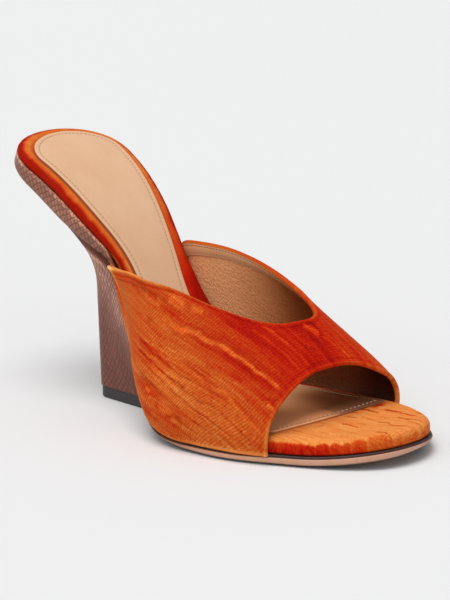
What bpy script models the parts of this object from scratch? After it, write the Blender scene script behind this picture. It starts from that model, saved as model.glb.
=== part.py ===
"""Peep-toe mule on a forward-set block heel, right foot.

Design frame, in millimetres: x runs from the heel end to the toe, y to the
medial side, z up from the floor.  The bottom of the footbed is one developable
surface: a side profile, drawn by its pitch along the length s, carried straight
across in y.  Every layer is an outline on that surface, moved out by an offset
and up or down along the surface's normal n.
"""

import math

import bmesh
import bpy
import numpy as np

MM = 0.001

# ---------------------------------------------------------------- driving sizes
SOLE_LENGTH = 235.0        # heel end to toe tip along the bottom of the footbed
FOOTBED_THICK = 6.3
FOOTBED_NIP = 0.5          # in at the upper's back ends
SOCK_THICK = 1.0
SOCK_INSET = 5.6           # from the footbed's edge
SOCK_LESS_WAIST = 2.6      # less of the footbed shows on the lateral waist
SOCK_EXTRA_HEEL = 1.3      # and more round the heel end
SOCK_FRONT_S = 197.0       # straight cut across the front of the sock
WELT_THICK = 1.2
OUTSOLE_THICK = 2.6
GAP = 0.3                  # between pieces that meet
UPPER_THICK = 1.8
UPPER_CLEAR = 0.45         # upper to the footbed's side
UPPER_BACK_LIFT = 0.5      # the upper's sole edge is a little higher over the heel
SOLE_PROUD = 0.35          # sole edge past the upper
SOLE_TUCK = 1.5            # less of it at the waist, where the sole hides under the upper
TOE_LEDGE = 0.8            # sole edge past the bare footbed at the toe

HEEL_END_ROUND = 24.0      # length over which the heel end closes
TOE_END_ROUND = 50.0       # length over which the toe closes
TOE_END_POWER = 2.15

RIM_IN, RIM_OUT = -1.4, -0.1   # the rim's faces, past the footbed's outline
RIM_TOP_IN, RIM_TOP_OUT = 2.7, 3.55   # its top, up from the footbed's bottom
RIM_DEPTH = 5.0            # down from the footbed's bottom, at the sides
RIM_DEPTH_BACK = 1.2       # and at the heel end
RIM_ENDS_S = (60.0, 72.0)  # the rim sinks away here, at the upper's back ends
BARE_FROM_S = (74.0, 86.0) # the footbed's side comes out to its outline again
WELT_BACK_S = 80.0         # the welt's skived back end
BREAST_S = 114.0           # heel breast, and the back end of the outsole

HEEL_BASE_X = (48.4, 78.0)
HEEL_BASE_HALF = 15.2
HEEL_BASE_CORNER = 6.0
HEEL_SIDE_OUT = 1.5        # heel's side past the footbed's outline, below the upper
HEEL_NECK_FLARE = 1.16     # the column's width at its top, over its width at the floor
HEEL_NECK_DROP = 7.0       # top of the column below the footbed's bottom
HEEL_NECK_ROUND = 7.5      # fillet between the shelf and the column
LIFT_THICK = 5.0
LIFT_INSET = 0.5

# ------------------------------------------------------------ tables, one row a section
# bottom of the footbed: length s, pitch in degrees below level, half widths, axis
LAST_BOTTOM = (
    # s,    pitch, lateral, medial, axis
    (0.0,    14.0,  29.6,   27.4,   0.0),
    (20.0,   25.0,  27.0,   26.8,   0.0),
    (37.5,   36.0,  24.4,   26.0,   0.0),
    (54.5,   44.5,  20.8,   24.0,   0.0),
    (74.5,   48.5,  15.4,   20.8,   0.0),
    (94.0,   50.0,  18.0,   18.8,   0.0),
    (114.0,  48.0,  25.8,   21.6,   0.0),
    (134.0,  32.5,  35.0,   26.8,   0.0),
    (151.0,   9.0,  40.8,   31.8,   0.0),
    (167.0,   0.0,  40.2,   35.8,   0.0),
    (183.5,   0.0,  37.8,   37.8,   1.0),
    (202.0,   0.0,  35.0,   38.6,   4.2),
    (220.0,  -7.0,  32.4,   37.6,   6.4),
    (235.0, -12.0,  30.5,   36.0,   7.6),
)

# ridge of the last over the foot: station x, height z, ridge offset y, side bulges
LAST_RIDGE = (
    # x,     ridge_z, ridge_y, bulge_lat, bulge_med
    (50.0,   127.0,    1.3,     0.5,       0.0),
    (80.0,   106.0,    1.9,     2.8,       0.9),
    (100.0,   84.3,    2.7,     3.8,       2.0),
    (120.0,   63.0,    3.6,     3.8,       3.2),
    (138.0,   47.7,    4.3,     2.8,       4.6),
    (152.0,   36.2,    4.8,     2.4,       4.6),
    (166.0,   24.5,    5.4,     2.2,       2.4),
    (190.0,   17.7,    6.0,     1.8,       0.8),
)

# edges of the upper, over the section angle (0 lateral sole edge, 1 medial)
UPPER_EDGES = (
    # round, topline_x, toe_edge_x
    (0.00,    58.5,     165.3),
    (0.05,    67.5,     165.6),
    (0.10,    76.0,     165.3),
    (0.19,    93.0,     163.6),
    (0.28,   110.5,     162.0),
    (0.38,   132.5,     160.3),
    (0.50,   141.2,     159.0),
    (0.62,   136.5,     160.2),
    (0.72,   118.8,     161.8),
    (0.81,    98.2,     161.2),
    (0.90,    79.0,     161.0),
    (0.95,    68.5,     161.2),
    (1.00,    58.0,     161.5),
)

# footbed's rolled edge: in from the outline where it is bare, in from it where the heel's rim
# covers it, up from the bottom
FOOTBED_EDGE = (
    # bare, in_rim, up
    (1.3,   2.9,    0.0),
    (0.3,   1.9,    0.8),
    (0.0,   1.7,    2.9),
    (0.1,   0.3,    4.0),
    (0.5,   0.5,    4.8),
    (1.4,   1.4,    5.6),
    (3.0,   3.0,    6.12),
    (5.2,   5.2,    6.3),
)

# how much more of the footbed shows beside the sock on the medial side
SOCK_WAIST = (
    # s,    more
    (30.0,  0.0),
    (50.0,  0.8),
    (60.0,  1.3),
    (70.0,  1.9),
    (79.0,  2.6),
    (87.0,  3.7),
    (95.0,  5.0),
    (104.0, 6.1),
    (112.0, 6.9),
    (122.0, 7.0),
    (140.0, 4.5),
    (160.0, 1.5),
    (180.0, 0.0),
)

# colours, roughness
FINISH = {
    "outsole":     ((0.48, 0.27, 0.18), 0.55),
    "welt":        ((0.035, 0.02, 0.018), 0.45),
    "footbed":     ((0.62, 0.15, 0.03), 0.70),
    "insole_sock": ((0.74, 0.48, 0.31), 0.50),
    "upper":       ((0.56, 0.09, 0.015), 0.70),
    "heel":        ((0.16, 0.075, 0.055), 0.50),
    "top_lift":    ((0.03, 0.028, 0.03), 0.60),
}

N_SIDE = 40                # outline points a side
N_ROUND = 44               # upper, round the foot
N_ALONG = 14               # upper, back to front
N_HEEL_U = 44              # heel outline points, one breast corner to the other
N_HEEL_WELT = 6            # of them under the welt, each side


# ---------------------------------------------------------------- curves
def column(table, name_index):
    return np.array([row[name_index] for row in table], float)


def monotone(xs, ys):
    """Cubic through the rows that never overshoots between two of them."""
    xs, ys = np.asarray(xs, float), np.asarray(ys, float)
    h, d = np.diff(xs), np.diff(ys) / np.diff(xs)
    m = np.zeros_like(ys)
    for i in range(1, len(xs) - 1):
        if d[i - 1] * d[i] > 0:
            w1, w2 = 2 * h[i] + h[i - 1], h[i] + 2 * h[i - 1]
            m[i] = (w1 + w2) / (w1 / d[i - 1] + w2 / d[i])
    m[0], m[-1] = d[0], d[-1]

    def at(x):
        x = np.clip(np.asarray(x, float), xs[0], xs[-1])
        i = np.clip(np.searchsorted(xs, x, side="right") - 1, 0, len(h) - 1)
        t = (x - xs[i]) / h[i]
        return (
            (1 + 2 * t) * (1 - t) ** 2 * ys[i]
            + t * (1 - t) ** 2 * h[i] * m[i]
            + t * t * (3 - 2 * t) * ys[i + 1]
            + t * t * (t - 1) * h[i] * m[i + 1]
        )

    return at


def smooth(xs, ys):
    """Natural cubic spline through the rows."""
    xs, ys = np.asarray(xs, float), np.asarray(ys, float)
    n, h = len(xs), np.diff(xs)
    a, b = np.eye(n), np.zeros(n)
    for i in range(1, n - 1):
        a[i, i - 1 : i + 2] = h[i - 1], 2 * (h[i - 1] + h[i]), h[i]
        b[i] = 6 * ((ys[i + 1] - ys[i]) / h[i] - (ys[i] - ys[i - 1]) / h[i - 1])
    k = np.linalg.solve(a, b)

    def at(x):
        x = np.clip(np.asarray(x, float), xs[0], xs[-1])
        i = np.clip(np.searchsorted(xs, x, side="right") - 1, 0, n - 2)
        l, r = xs[i + 1] - x, x - xs[i]
        return (
            (k[i] * l**3 + k[i + 1] * r**3) / (6 * h[i])
            + (ys[i] / h[i] - k[i] * h[i] / 6) * l
            + (ys[i + 1] / h[i] - k[i + 1] * h[i] / 6) * r
        )

    return at


def ease(x, lo, hi):
    t = np.clip((np.asarray(x, float) - lo) / (hi - lo), 0, 1)
    return t * t * (3 - 2 * t)


# ---------------------------------------------------------------- the last's bottom
S_ROWS = column(LAST_BOTTOM, 0)
pitch_at = monotone(S_ROWS, column(LAST_BOTTOM, 1))
lateral_at = smooth(S_ROWS, column(LAST_BOTTOM, 2))
medial_at = smooth(S_ROWS, column(LAST_BOTTOM, 3))
axis_at = smooth(S_ROWS, column(LAST_BOTTOM, 4))

TREAD_Z = OUTSOLE_THICK + WELT_THICK + 2 * GAP     # footbed's bottom at the ball

S_GRID = np.linspace(-12.0, SOLE_LENGTH + 12.0, 1053)
_pitch = np.radians(pitch_at(S_GRID))
_step = np.diff(S_GRID)
_mid = (_pitch[1:] + _pitch[:-1]) / 2
X_GRID = np.concatenate([[0.0], np.cumsum(np.cos(_mid) * _step)])
Z_GRID = np.concatenate([[0.0], np.cumsum(-np.sin(_mid) * _step)])
X_GRID = X_GRID - np.interp(0.0, S_GRID, X_GRID)
Z_GRID = Z_GRID - Z_GRID.min() + TREAD_Z


def place(s, y, n):
    """Point of the design frame at length s, across y, n above the footbed's bottom."""
    s = np.asarray(s, float)
    p = np.radians(pitch_at(s))
    x = np.interp(s, S_GRID, X_GRID) + n * np.sin(p)
    z = np.interp(s, S_GRID, Z_GRID) + n * np.cos(p)
    return np.stack([x, np.broadcast_to(y, x.shape), z], axis=-1)


def s_of_x(x):
    return np.interp(x, X_GRID, S_GRID)


def end_closing(s):
    heel = np.clip((HEEL_END_ROUND - s) / HEEL_END_ROUND, 0, 1)
    toe = np.clip((s - SOLE_LENGTH + TOE_END_ROUND) / TOE_END_ROUND, 0, 1)
    return np.sqrt(1 - heel**2) * (1 - toe**TOE_END_POWER) ** (1 / TOE_END_POWER)


def side_y(s, side):
    """Footbed's edge at s: side -1 lateral, +1 medial."""
    half = np.where(side < 0, lateral_at(s), medial_at(s))
    return axis_at(s) + side * half * end_closing(s)


def stations(s0=0.0, s1=SOLE_LENGTH, count=N_SIDE):
    """Lengths from heel to toe, closer together where the ends close."""
    t = np.linspace(0, 1, count + 1)
    lean = t - 0.86 * np.sin(2 * math.pi * t) / (2 * math.pi)
    return s0 + (s1 - s0) * lean


def outline(count=N_SIDE):
    """Closed outline in (s, y): heel end, lateral side, toe tip, medial side."""
    s = stations(count=count)
    lat = np.stack([s, side_y(s, -1)], axis=1)
    med = np.stack([s, side_y(s, 1)], axis=1)[-2:0:-1]
    return np.concatenate([lat, med])


def grown(loop, offset):
    """The outline moved out by offset (a number, or one for each point), closed."""
    fwd, back = np.roll(loop, -1, axis=0), np.roll(loop, 1, axis=0)
    t = fwd - back
    t /= np.linalg.norm(t, axis=1)[:, None]
    out = np.stack([t[:, 1], -t[:, 0]], axis=1)   # the loop runs lateral side first
    return loop + out * np.broadcast_to(offset, len(loop))[:, None]


# ---------------------------------------------------------------- the upper's surface
RIDGE_X = column(LAST_RIDGE, 0)
ridge_z_at = smooth(RIDGE_X, column(LAST_RIDGE, 1))
ridge_y_at = smooth(RIDGE_X, column(LAST_RIDGE, 2))
bulge_lat_at = smooth(RIDGE_X, column(LAST_RIDGE, 3))
bulge_med_at = smooth(RIDGE_X, column(LAST_RIDGE, 4))
topline_x_at = smooth(column(UPPER_EDGES, 0), column(UPPER_EDGES, 1))
toe_edge_x_at = smooth(column(UPPER_EDGES, 0), column(UPPER_EDGES, 2))
BULGE_HEIGHT = 13.0
SECTION_POWER = (1.05, 0.78)     # lateral, medial; below 1 is fuller


def upper_point(x, around):
    """Outside of the upper at station x, around = 0 at the lateral sole edge to 1 at the medial."""
    x, around = np.asarray(x, float), np.asarray(around, float)
    s = s_of_x(x)
    foot = np.interp(s, S_GRID, Z_GRID) + UPPER_BACK_LIFT * (1 - ease(x, 74.0, 110.0))
    side = np.where(around < 0.5, -1.0, 1.0)
    edge = side_y(s, side) + side * (UPPER_CLEAR + UPPER_THICK)
    a = math.pi * around
    power = np.where(side < 0, *SECTION_POWER)
    c, d = np.abs(np.cos(a)) ** power, np.maximum(np.sin(a), 0.0) ** power
    ridge_y = ridge_y_at(x)
    y = ridge_y + (edge - ridge_y) * c
    z = foot + (ridge_z_at(x) - foot) * d
    up = (z - foot) / BULGE_HEIGHT
    bulge = np.where(side < 0, bulge_lat_at(x), bulge_med_at(x))
    y = y + side * bulge * up * np.exp(1 - up)
    return np.stack([x, y, z], axis=-1)


def upper_grid(rounds=N_ROUND, alongs=N_ALONG):
    around = np.linspace(0, 1, rounds + 1)
    along = np.linspace(0, 1, alongs + 1)
    back, front = topline_x_at(around), toe_edge_x_at(around)
    x = back[:, None] + (front - back)[:, None] * along[None, :]
    return upper_point(x, np.broadcast_to(around[:, None], x.shape))


# ---------------------------------------------------------------- mesh helpers
def strip_cap(bm, verts):
    """Closes a loop whose first half runs one way and second half comes back, with quads across."""
    n = len(verts)
    m = n // 2
    bm.faces.new((verts[0], verts[1], verts[-1]))
    for j in range(1, m - 1):
        bm.faces.new((verts[j], verts[j + 1], verts[n - j - 1], verts[n - j]))
    bm.faces.new((verts[m - 1], verts[m], verts[m + 1]))


def open_cap(bm, verts):
    """Closes a U-shaped loop whose two ends are joined by a straight edge."""
    n = len(verts)
    for j in range(n // 2 - (1 if n % 2 == 0 else 0)):
        a, b = n - 1 - j, n - 2 - j
        if j + 1 == b:
            bm.faces.new((verts[j], verts[j + 1], verts[a]))
        else:
            bm.faces.new((verts[j], verts[j + 1], verts[b], verts[a]))


def loft(name, rings, cap):
    """One closed solid through the rings, both ends capped."""
    bm = bmesh.new()
    rows = [[bm.verts.new(p * MM) for p in ring] for ring in rings]
    n = len(rows[0])
    for low, high in zip(rows, rows[1:]):
        for j in range(n):
            k = (j + 1) % n
            bm.faces.new((low[j], low[k], high[k], high[j]))
    cap(bm, rows[0])
    cap(bm, rows[-1])
    bmesh.ops.recalc_face_normals(bm, faces=bm.faces)
    if bm.calc_volume(signed=True) < 0:
        bmesh.ops.reverse_faces(bm, faces=bm.faces)
    return finish(name, bm)


def finish(name, bm):
    mesh = bpy.data.meshes.new(name)
    bm.to_mesh(mesh)
    bm.free()
    colour, rough = FINISH[name]
    mat = bpy.data.materials.new(name)
    mat.use_nodes = True
    shader = mat.node_tree.nodes["Principled BSDF"]
    shader.inputs["Base Color"].default_value = (*colour, 1.0)
    shader.inputs["Roughness"].default_value = rough
    shader.inputs["Metallic"].default_value = 0.0
    mesh.materials.append(mat)
    mesh.shade_smooth()
    mesh.set_sharp_from_angle(angle=math.radians(40))
    obj = bpy.data.objects.new(name, mesh)
    bpy.context.scene.collection.objects.link(obj)
    return obj


# ---------------------------------------------------------------- the pieces
def sole_offset(s):
    """How far the sole's edge stands past the footbed's outline."""
    tuck = SOLE_TUCK * (1 - ease(s, 130.0, 162.0))
    beside_upper = UPPER_CLEAR + UPPER_THICK + SOLE_PROUD - tuck
    return beside_upper + (TOE_LEDGE - beside_upper) * ease(s, 178.0, 206.0)


def on_last(loop, n):
    return place(loop[:, 0], loop[:, 1], n)


def make_footbed():
    base = outline()
    covered = 1 - ease(base[:, 0], *BARE_FROM_S)
    nip = FOOTBED_NIP * np.exp(-(((base[:, 0] - 73.0) / 9.0) ** 2))
    rings = []
    for bare, in_rim, up in FOOTBED_EDGE:
        rings.append(on_last(grown(base, -(bare + (in_rim - bare) * covered + nip)), up))
    return loft("footbed", rings, strip_cap)


def sock_loop(inset):
    """Outline of the sock, cut straight across at its front."""
    base = outline(count=56)
    extra = monotone(column(SOCK_WAIST, 0), column(SOCK_WAIST, 1))(base[:, 0]) * (base[:, 1] > 0)
    extra = extra - SOCK_LESS_WAIST * np.exp(-(((base[:, 0] - 84.0) / 22.0) ** 2)) * (base[:, 1] < 0)
    back = SOCK_EXTRA_HEEL * (1 - ease(base[:, 0], 0.0, 22.0))
    loop = grown(base, -(SOCK_INSET + extra + back + inset))
    front = SOCK_FRONT_S - inset
    half = len(loop) // 2
    keep = int(np.searchsorted(loop[: half + 1, 0], SOCK_FRONT_S - 2.5))
    lat, med = loop[:keep], loop[len(loop) - keep + 1 :]
    y_lat = np.interp(front, loop[: half + 1, 0], loop[: half + 1, 1])
    y_med = np.interp(front, loop[half:, 0][::-1], loop[half:, 1][::-1])
    across = np.linspace(0.0, 1.0, 9)
    bow = front - 1.2 * (2 * across - 1) ** 2
    front_row = np.stack([bow, y_lat + (y_med - y_lat) * across], axis=1)
    return np.concatenate([lat, front_row, med])


def make_sock():
    low = FOOTBED_THICK + GAP
    rings = [
        on_last(sock_loop(0.0), low),
        on_last(sock_loop(0.0), low + 0.65 * SOCK_THICK),
        on_last(sock_loop(0.35), low + SOCK_THICK),
    ]
    return loft("insole_sock", rings, sock_cap)


def sock_cap(bm, verts):
    """Quads across the sock, and a fan at its straight front."""
    n = len(verts)
    j, k = 0, n
    bm.faces.new((verts[0], verts[1], verts[-1]))
    j, k = 1, n - 1
    while k - j > 10:
        bm.faces.new((verts[j], verts[j + 1], verts[k - 1], verts[k]))
        j, k = j + 1, k - 1
    bm.faces.new([verts[i] for i in range(j, k + 1)])


def waist_loop(s_back, offset_at, inset=0.0, count=N_SIDE):
    """Sole outline that starts straight across at s_back: back medial corner last."""
    s = stations(s_back, SOLE_LENGTH, count=2 * count)[count // 2 :]
    s = np.concatenate([np.linspace(s_back, s[0], count // 2, endpoint=False), s])
    lat = np.stack([s, side_y(s, -1)], axis=1)
    med = np.stack([s, side_y(s, 1)], axis=1)[-2::-1]
    loop = np.concatenate([lat, med])
    moved = grown(loop, offset_at(loop[:, 0]) - inset)
    moved[0] = (s_back, side_y(s_back, -1) - offset_at(s_back) + inset)
    moved[-1] = (s_back, side_y(s_back, 1) + offset_at(s_back) - inset)
    return moved


def welt_thick(s):
    return WELT_THICK * (0.4 + 0.6 * ease(s, WELT_BACK_S, 100.0))


def make_welt():
    loop = waist_loop(WELT_BACK_S, sole_offset)
    inner = waist_loop(WELT_BACK_S, sole_offset, inset=0.35)
    thick = welt_thick(loop[:, 0])
    rings = [
        on_last(inner, -GAP),
        on_last(loop, -GAP - 0.35 * thick),
        on_last(loop, -GAP - thick),
    ]
    return loft("welt", rings, open_cap)


def make_outsole():
    top = -2 * GAP - WELT_THICK
    back = BREAST_S + GAP
    rings = [
        on_last(waist_loop(back, sole_offset, inset=0.25), top),
        on_last(waist_loop(back, sole_offset, inset=0.1), top - 0.4),
        on_last(waist_loop(back, sole_offset, inset=0.3), top - 0.6 * OUTSOLE_THICK),
        on_last(waist_loop(back, sole_offset, inset=1.3), top - OUTSOLE_THICK),
    ]
    return loft("outsole", rings, open_cap)


def heel_seat_loop(offset):
    """U of the heel seat: lateral breast corner, round the back, medial breast corner."""
    ahead = np.linspace(BREAST_S, WELT_BACK_S - 0.4, N_HEEL_WELT)
    behind = (WELT_BACK_S - 1.2) * np.linspace(1, 0, N_HEEL_U // 2 + 1 - N_HEEL_WELT) ** 1.4
    s = np.concatenate([ahead, behind])
    lat = np.stack([s, side_y(s, -1)], axis=1)
    med = np.stack([s, side_y(s, 1)], axis=1)[-2::-1]
    loop = np.concatenate([lat, med])
    fwd, back = np.roll(loop, -1, axis=0), np.roll(loop, 1, axis=0)
    run = fwd - back
    run[0], run[-1] = loop[1] - loop[0], loop[-1] - loop[-2]
    run /= np.linalg.norm(run, axis=1)[:, None]
    out = np.stack([-run[:, 1], run[:, 0]], axis=1)
    moved = loop + out * np.broadcast_to(offset, len(loop))[:, None]
    moved[0, 0] = moved[-1, 0] = BREAST_S
    return moved


def heel_base_loop(inset, z):
    """The same U on the floor: straight sides, round back corners, a flat back."""
    x0, x1 = HEEL_BASE_X[0] + inset, HEEL_BASE_X[1] - inset
    half, r = HEEL_BASE_HALF - inset, HEEL_BASE_CORNER - inset
    count = N_HEEL_U // 2 + 1
    side_n, arc_n = int(count * 0.31), int(count * 0.40)
    pts = [(x1 + (x0 + r - x1) * i / side_n, -half) for i in range(side_n)]
    for i in range(arc_n):
        a = math.pi / 2 * i / arc_n
        pts.append((x0 + r - r * math.sin(a), -half + r - r * math.cos(a)))
    flat_n = count - side_n - arc_n
    pts += [(x0, -(half - r) * (1 - i / (flat_n - 1))) for i in range(flat_n)]
    lat = np.array([(x, y, z) for x, y in pts])
    med = lat[-2::-1] * (1, -1, 1)
    return np.concatenate([lat, med])


def heel_floor(s):
    """Top of the heel under the footbed, or under the welt where that runs back over it."""
    return -GAP - np.where(s > WELT_BACK_S - 0.8, welt_thick(s) + GAP, 0.0)


def make_heel():
    inner = heel_seat_loop(RIM_IN)
    s = inner[:, 0]
    floor = heel_floor(s)
    rim = 1 - ease(s, *RIM_ENDS_S)
    edge = RIM_OUT + HEEL_SIDE_OUT * ease(s, *RIM_ENDS_S)
    deep = RIM_DEPTH_BACK + (RIM_DEPTH - RIM_DEPTH_BACK) * ease(s, -4.0, 42.0)
    rings = [
        on_last(inner, floor),
        on_last(inner, floor + (RIM_TOP_IN - floor) * rim + 0.01),
        on_last(heel_seat_loop(edge), floor + (RIM_TOP_OUT - floor) * rim - 0.15 * (1 - rim)),
        on_last(heel_seat_loop(edge + 0.1), np.minimum(-deep * 0.45, floor - 0.8)),
        on_last(heel_seat_loop(edge - 0.5), -deep * 0.85 - 0.2),
    ]
    # along the shelf's underside to where it would meet the column, then down
    shelf = heel_seat_loop(edge - 1.8)
    end = heel_base_loop(0.0, LIFT_THICK + GAP)
    neck_s = s_of_x(end[:, 0])
    for _ in range(6):
        neck_s = s_of_x(end[:, 0] + HEEL_NECK_DROP * np.sin(np.radians(pitch_at(neck_s))))
    neck_s = np.minimum(neck_s, BREAST_S - 0.5)
    neck_y = end[:, 1] * HEEL_NECK_FLARE
    turn = place(neck_s, neck_y, -HEEL_NECK_DROP)

    def underside(t):
        return place(
            shelf[:, 0] + (neck_s - shelf[:, 0]) * t,
            shelf[:, 1] + (neck_y - shelf[:, 1]) * t,
            -deep - 0.2 - (HEEL_NECK_DROP - deep - 0.2) * t,
        )

    reach = np.linalg.norm(turn - underside(0.0), axis=1)
    stop = 1 - np.minimum(HEEL_NECK_ROUND / np.maximum(reach, 1e-6), 0.6)
    for t in np.linspace(0, 1, 7):
        rings.append(underside(t * stop))
    leave = underside(stop)
    down = (end - turn) / np.linalg.norm(end - turn, axis=1)[:, None]
    join = turn + down * HEEL_NECK_ROUND
    for t in np.linspace(0, 1, 6)[1:]:
        rings.append((1 - t) ** 2 * leave + 2 * t * (1 - t) * turn + t * t * join)
    for t in np.linspace(0, 1, 5)[1:]:
        rings.append(join + (end - join) * t)
    return loft("heel", rings, open_cap)


def make_lift():
    rings = [
        heel_base_loop(LIFT_INSET + 0.5, 0.0),
        heel_base_loop(LIFT_INSET, 0.6),
        heel_base_loop(LIFT_INSET, LIFT_THICK),
    ]
    return loft("top_lift", rings, open_cap)


def make_upper():
    grid = upper_grid()
    bm = bmesh.new()
    rows = [[bm.verts.new(p * MM) for p in row] for row in grid]
    for a, b in zip(rows, rows[1:]):
        for j in range(len(a) - 1):
            bm.faces.new((a[j], a[j + 1], b[j + 1], b[j]))
    obj = finish("upper", bm)
    wall = obj.modifiers.new("wall", "SOLIDIFY")
    wall.thickness = UPPER_THICK * MM
    wall.offset = -1.0
    wall.use_even_offset = True
    return obj


def main():
    for obj in list(bpy.data.objects):
        bpy.data.objects.remove(obj, do_unlink=True)
    pieces = [
        make_outsole(),
        make_welt(),
        make_footbed(),
        make_sock(),
        make_heel(),
        make_lift(),
        make_upper(),
    ]
    # the origin: on the floor, at the middle of the shoe's length and width
    corners = np.concatenate([np.array([v.co for v in o.data.vertices]) for o in pieces])
    low, high = corners.min(axis=0), corners.max(axis=0)
    shoe = bpy.data.objects.new("shoe", None)
    bpy.context.scene.collection.objects.link(shoe)
    shoe.location = (-(low[0] + high[0]) / 2, -(low[1] + high[1]) / 2, 0.0)
    for o in pieces:
        o.parent = shoe


main()
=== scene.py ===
"""Looks of a peep-toe mule on a forward-set block heel, right foot.

Shapes are drawn in the design frame, in millimetres: x runs from the heel end to the
toe, y to the medial side, z up from the floor.  Every piece is a closed mesh built from
the same last as the CAD solids, with its own fabric, leather or rubber material.
"""

import math

import bmesh
import bpy
import numpy as np
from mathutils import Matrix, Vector


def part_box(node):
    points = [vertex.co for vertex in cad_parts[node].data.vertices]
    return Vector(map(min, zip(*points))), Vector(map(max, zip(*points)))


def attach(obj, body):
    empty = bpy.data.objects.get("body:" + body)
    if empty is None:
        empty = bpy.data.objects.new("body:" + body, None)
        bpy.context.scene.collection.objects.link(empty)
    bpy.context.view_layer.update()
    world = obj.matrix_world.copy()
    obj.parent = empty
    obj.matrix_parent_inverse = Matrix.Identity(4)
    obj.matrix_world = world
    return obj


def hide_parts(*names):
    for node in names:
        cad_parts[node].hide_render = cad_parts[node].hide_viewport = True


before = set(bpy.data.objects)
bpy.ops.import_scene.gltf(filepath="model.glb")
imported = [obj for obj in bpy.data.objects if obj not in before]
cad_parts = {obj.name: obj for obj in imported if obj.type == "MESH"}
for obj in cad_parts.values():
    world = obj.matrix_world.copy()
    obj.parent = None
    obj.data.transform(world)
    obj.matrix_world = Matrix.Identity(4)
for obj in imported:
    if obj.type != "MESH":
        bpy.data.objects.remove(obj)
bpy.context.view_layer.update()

# ------------------------------------------------------------------ sizes, in mm
SOLE_LENGTH = 235.0
FOOTBED_THICK = 6.3
FOOTBED_NIP = 0.5
SOCK_THICK = 1.0
SOCK_INSET = 5.6
SOCK_LESS_WAIST = 2.6
SOCK_EXTRA_HEEL = 1.3
SOCK_FRONT_S = 197.0
WELT_THICK = 1.2
OUTSOLE_THICK = 2.6
GAP = 0.3
UPPER_THICK = 1.8
FABRIC_THICK = 1.2
UPPER_CLEAR = 0.45
UPPER_BACK_LIFT = 0.5
SOLE_PROUD = 0.35
SOLE_TUCK = 1.5
TOE_LEDGE = 0.8
HEEL_END_ROUND = 24.0
TOE_END_ROUND = 50.0
TOE_END_POWER = 2.15
RIM_IN, RIM_OUT = -1.4, -0.1
RIM_TOP_IN, RIM_TOP_OUT = 2.7, 3.55
RIM_DEPTH = 5.0
RIM_DEPTH_BACK = 1.2
RIM_ENDS_S = (65.0, 77.0)
BARE_FROM_S = (70.0, 82.0)
WELT_BACK_S = 80.0
BREAST_S = 114.0
HEEL_BASE_X = (48.4, 78.0)
HEEL_BASE_HALF = 15.2
HEEL_BASE_CORNER = 6.0
HEEL_SIDE_OUT = 1.5
HEEL_NECK_FLARE = 1.16
HEEL_NECK_DROP = 7.0
HEEL_NECK_ROUND = 7.5
LIFT_THICK = 5.0
LIFT_INSET = 0.5
STITCH_IN = 2.0            # sock's stitch row, in from its edge
FACING_WIDE = 6.0          # smooth band inside the topline

LAST_BOTTOM = (
    # s,    pitch, lateral, medial, axis
    (0.0,    14.0,  29.6,   27.4,   0.0),
    (20.0,   25.0,  27.0,   26.8,   0.0),
    (37.5,   36.0,  24.4,   26.0,   0.0),
    (54.5,   44.5,  20.8,   24.0,   0.0),
    (74.5,   48.5,  15.4,   20.8,   0.0),
    (94.0,   50.0,  18.0,   18.8,   0.0),
    (114.0,  48.0,  25.8,   21.6,   0.0),
    (134.0,  32.5,  35.0,   26.8,   0.0),
    (151.0,   9.0,  40.8,   31.8,   0.0),
    (167.0,   0.0,  40.2,   35.8,   0.0),
    (183.5,   0.0,  37.8,   37.8,   1.0),
    (202.0,   0.0,  35.0,   38.6,   4.2),
    (220.0,  -7.0,  32.4,   37.6,   6.4),
    (235.0, -12.0,  30.5,   36.0,   7.6),
)

LAST_RIDGE = (
    # x,     ridge_z, ridge_y, bulge_lat, bulge_med
    (50.0,   127.0,    1.3,     0.5,       0.0),
    (80.0,   106.0,    1.9,     2.8,       0.9),
    (100.0,   84.3,    2.7,     3.8,       2.0),
    (120.0,   63.0,    3.6,     3.8,       3.2),
    (138.0,   47.7,    4.3,     2.8,       4.6),
    (152.0,   36.2,    4.8,     2.4,       4.6),
    (166.0,   24.5,    5.4,     2.2,       2.4),
    (190.0,   17.7,    6.0,     1.8,       0.8),
)

UPPER_EDGES = (
    # round, topline_x, toe_edge_x
    (0.00,    58.5,     165.3),
    (0.05,    67.5,     165.6),
    (0.10,    76.0,     165.3),
    (0.19,    93.0,     163.6),
    (0.28,   110.5,     162.0),
    (0.38,   132.5,     160.3),
    (0.50,   141.2,     159.0),
    (0.62,   136.5,     160.2),
    (0.72,   118.8,     161.8),
    (0.81,    98.2,     161.2),
    (0.90,    79.0,     161.0),
    (0.95,    68.5,     161.2),
    (1.00,    58.0,     161.5),
)

# footbed's rolled edge: in from the outline where bare, where the heel's rim covers it, and up
FOOTBED_EDGE = (
    # bare, in_rim, up
    (1.3,   2.9,    0.0),
    (0.3,   1.9,    0.8),
    (0.0,   1.7,    2.9),
    (0.1,   0.3,    4.0),
    (0.5,   0.5,    4.8),
    (1.4,   1.4,    5.6),
    (3.0,   3.0,    6.12),
    (5.2,   5.2,    6.3),
)

BULGE_HEIGHT = 13.0
SECTION_POWER = (1.05, 0.78)

# ------------------------------------------------------------------ the watered pattern, placed one by one
# direction of the streaks over the vamp: girth gained for each mm of length
STREAK_SLOPE = (
    # x,    slope
    (55.0,  0.72),
    (80.0,  0.64),
    (100.0, 0.48),
    (125.0, 0.36),
    (150.0, 0.20),
    (170.0, 0.15),
)

# lean of the ribs that cross the streaks: length gained for each mm of girth
RIB_LEAN = (
    # x,    lean
    (55.0,  0.55),
    (100.0, 0.46),
    (125.0, 0.22),
    (150.0, 0.13),
    (170.0, 0.10),
)

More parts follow.
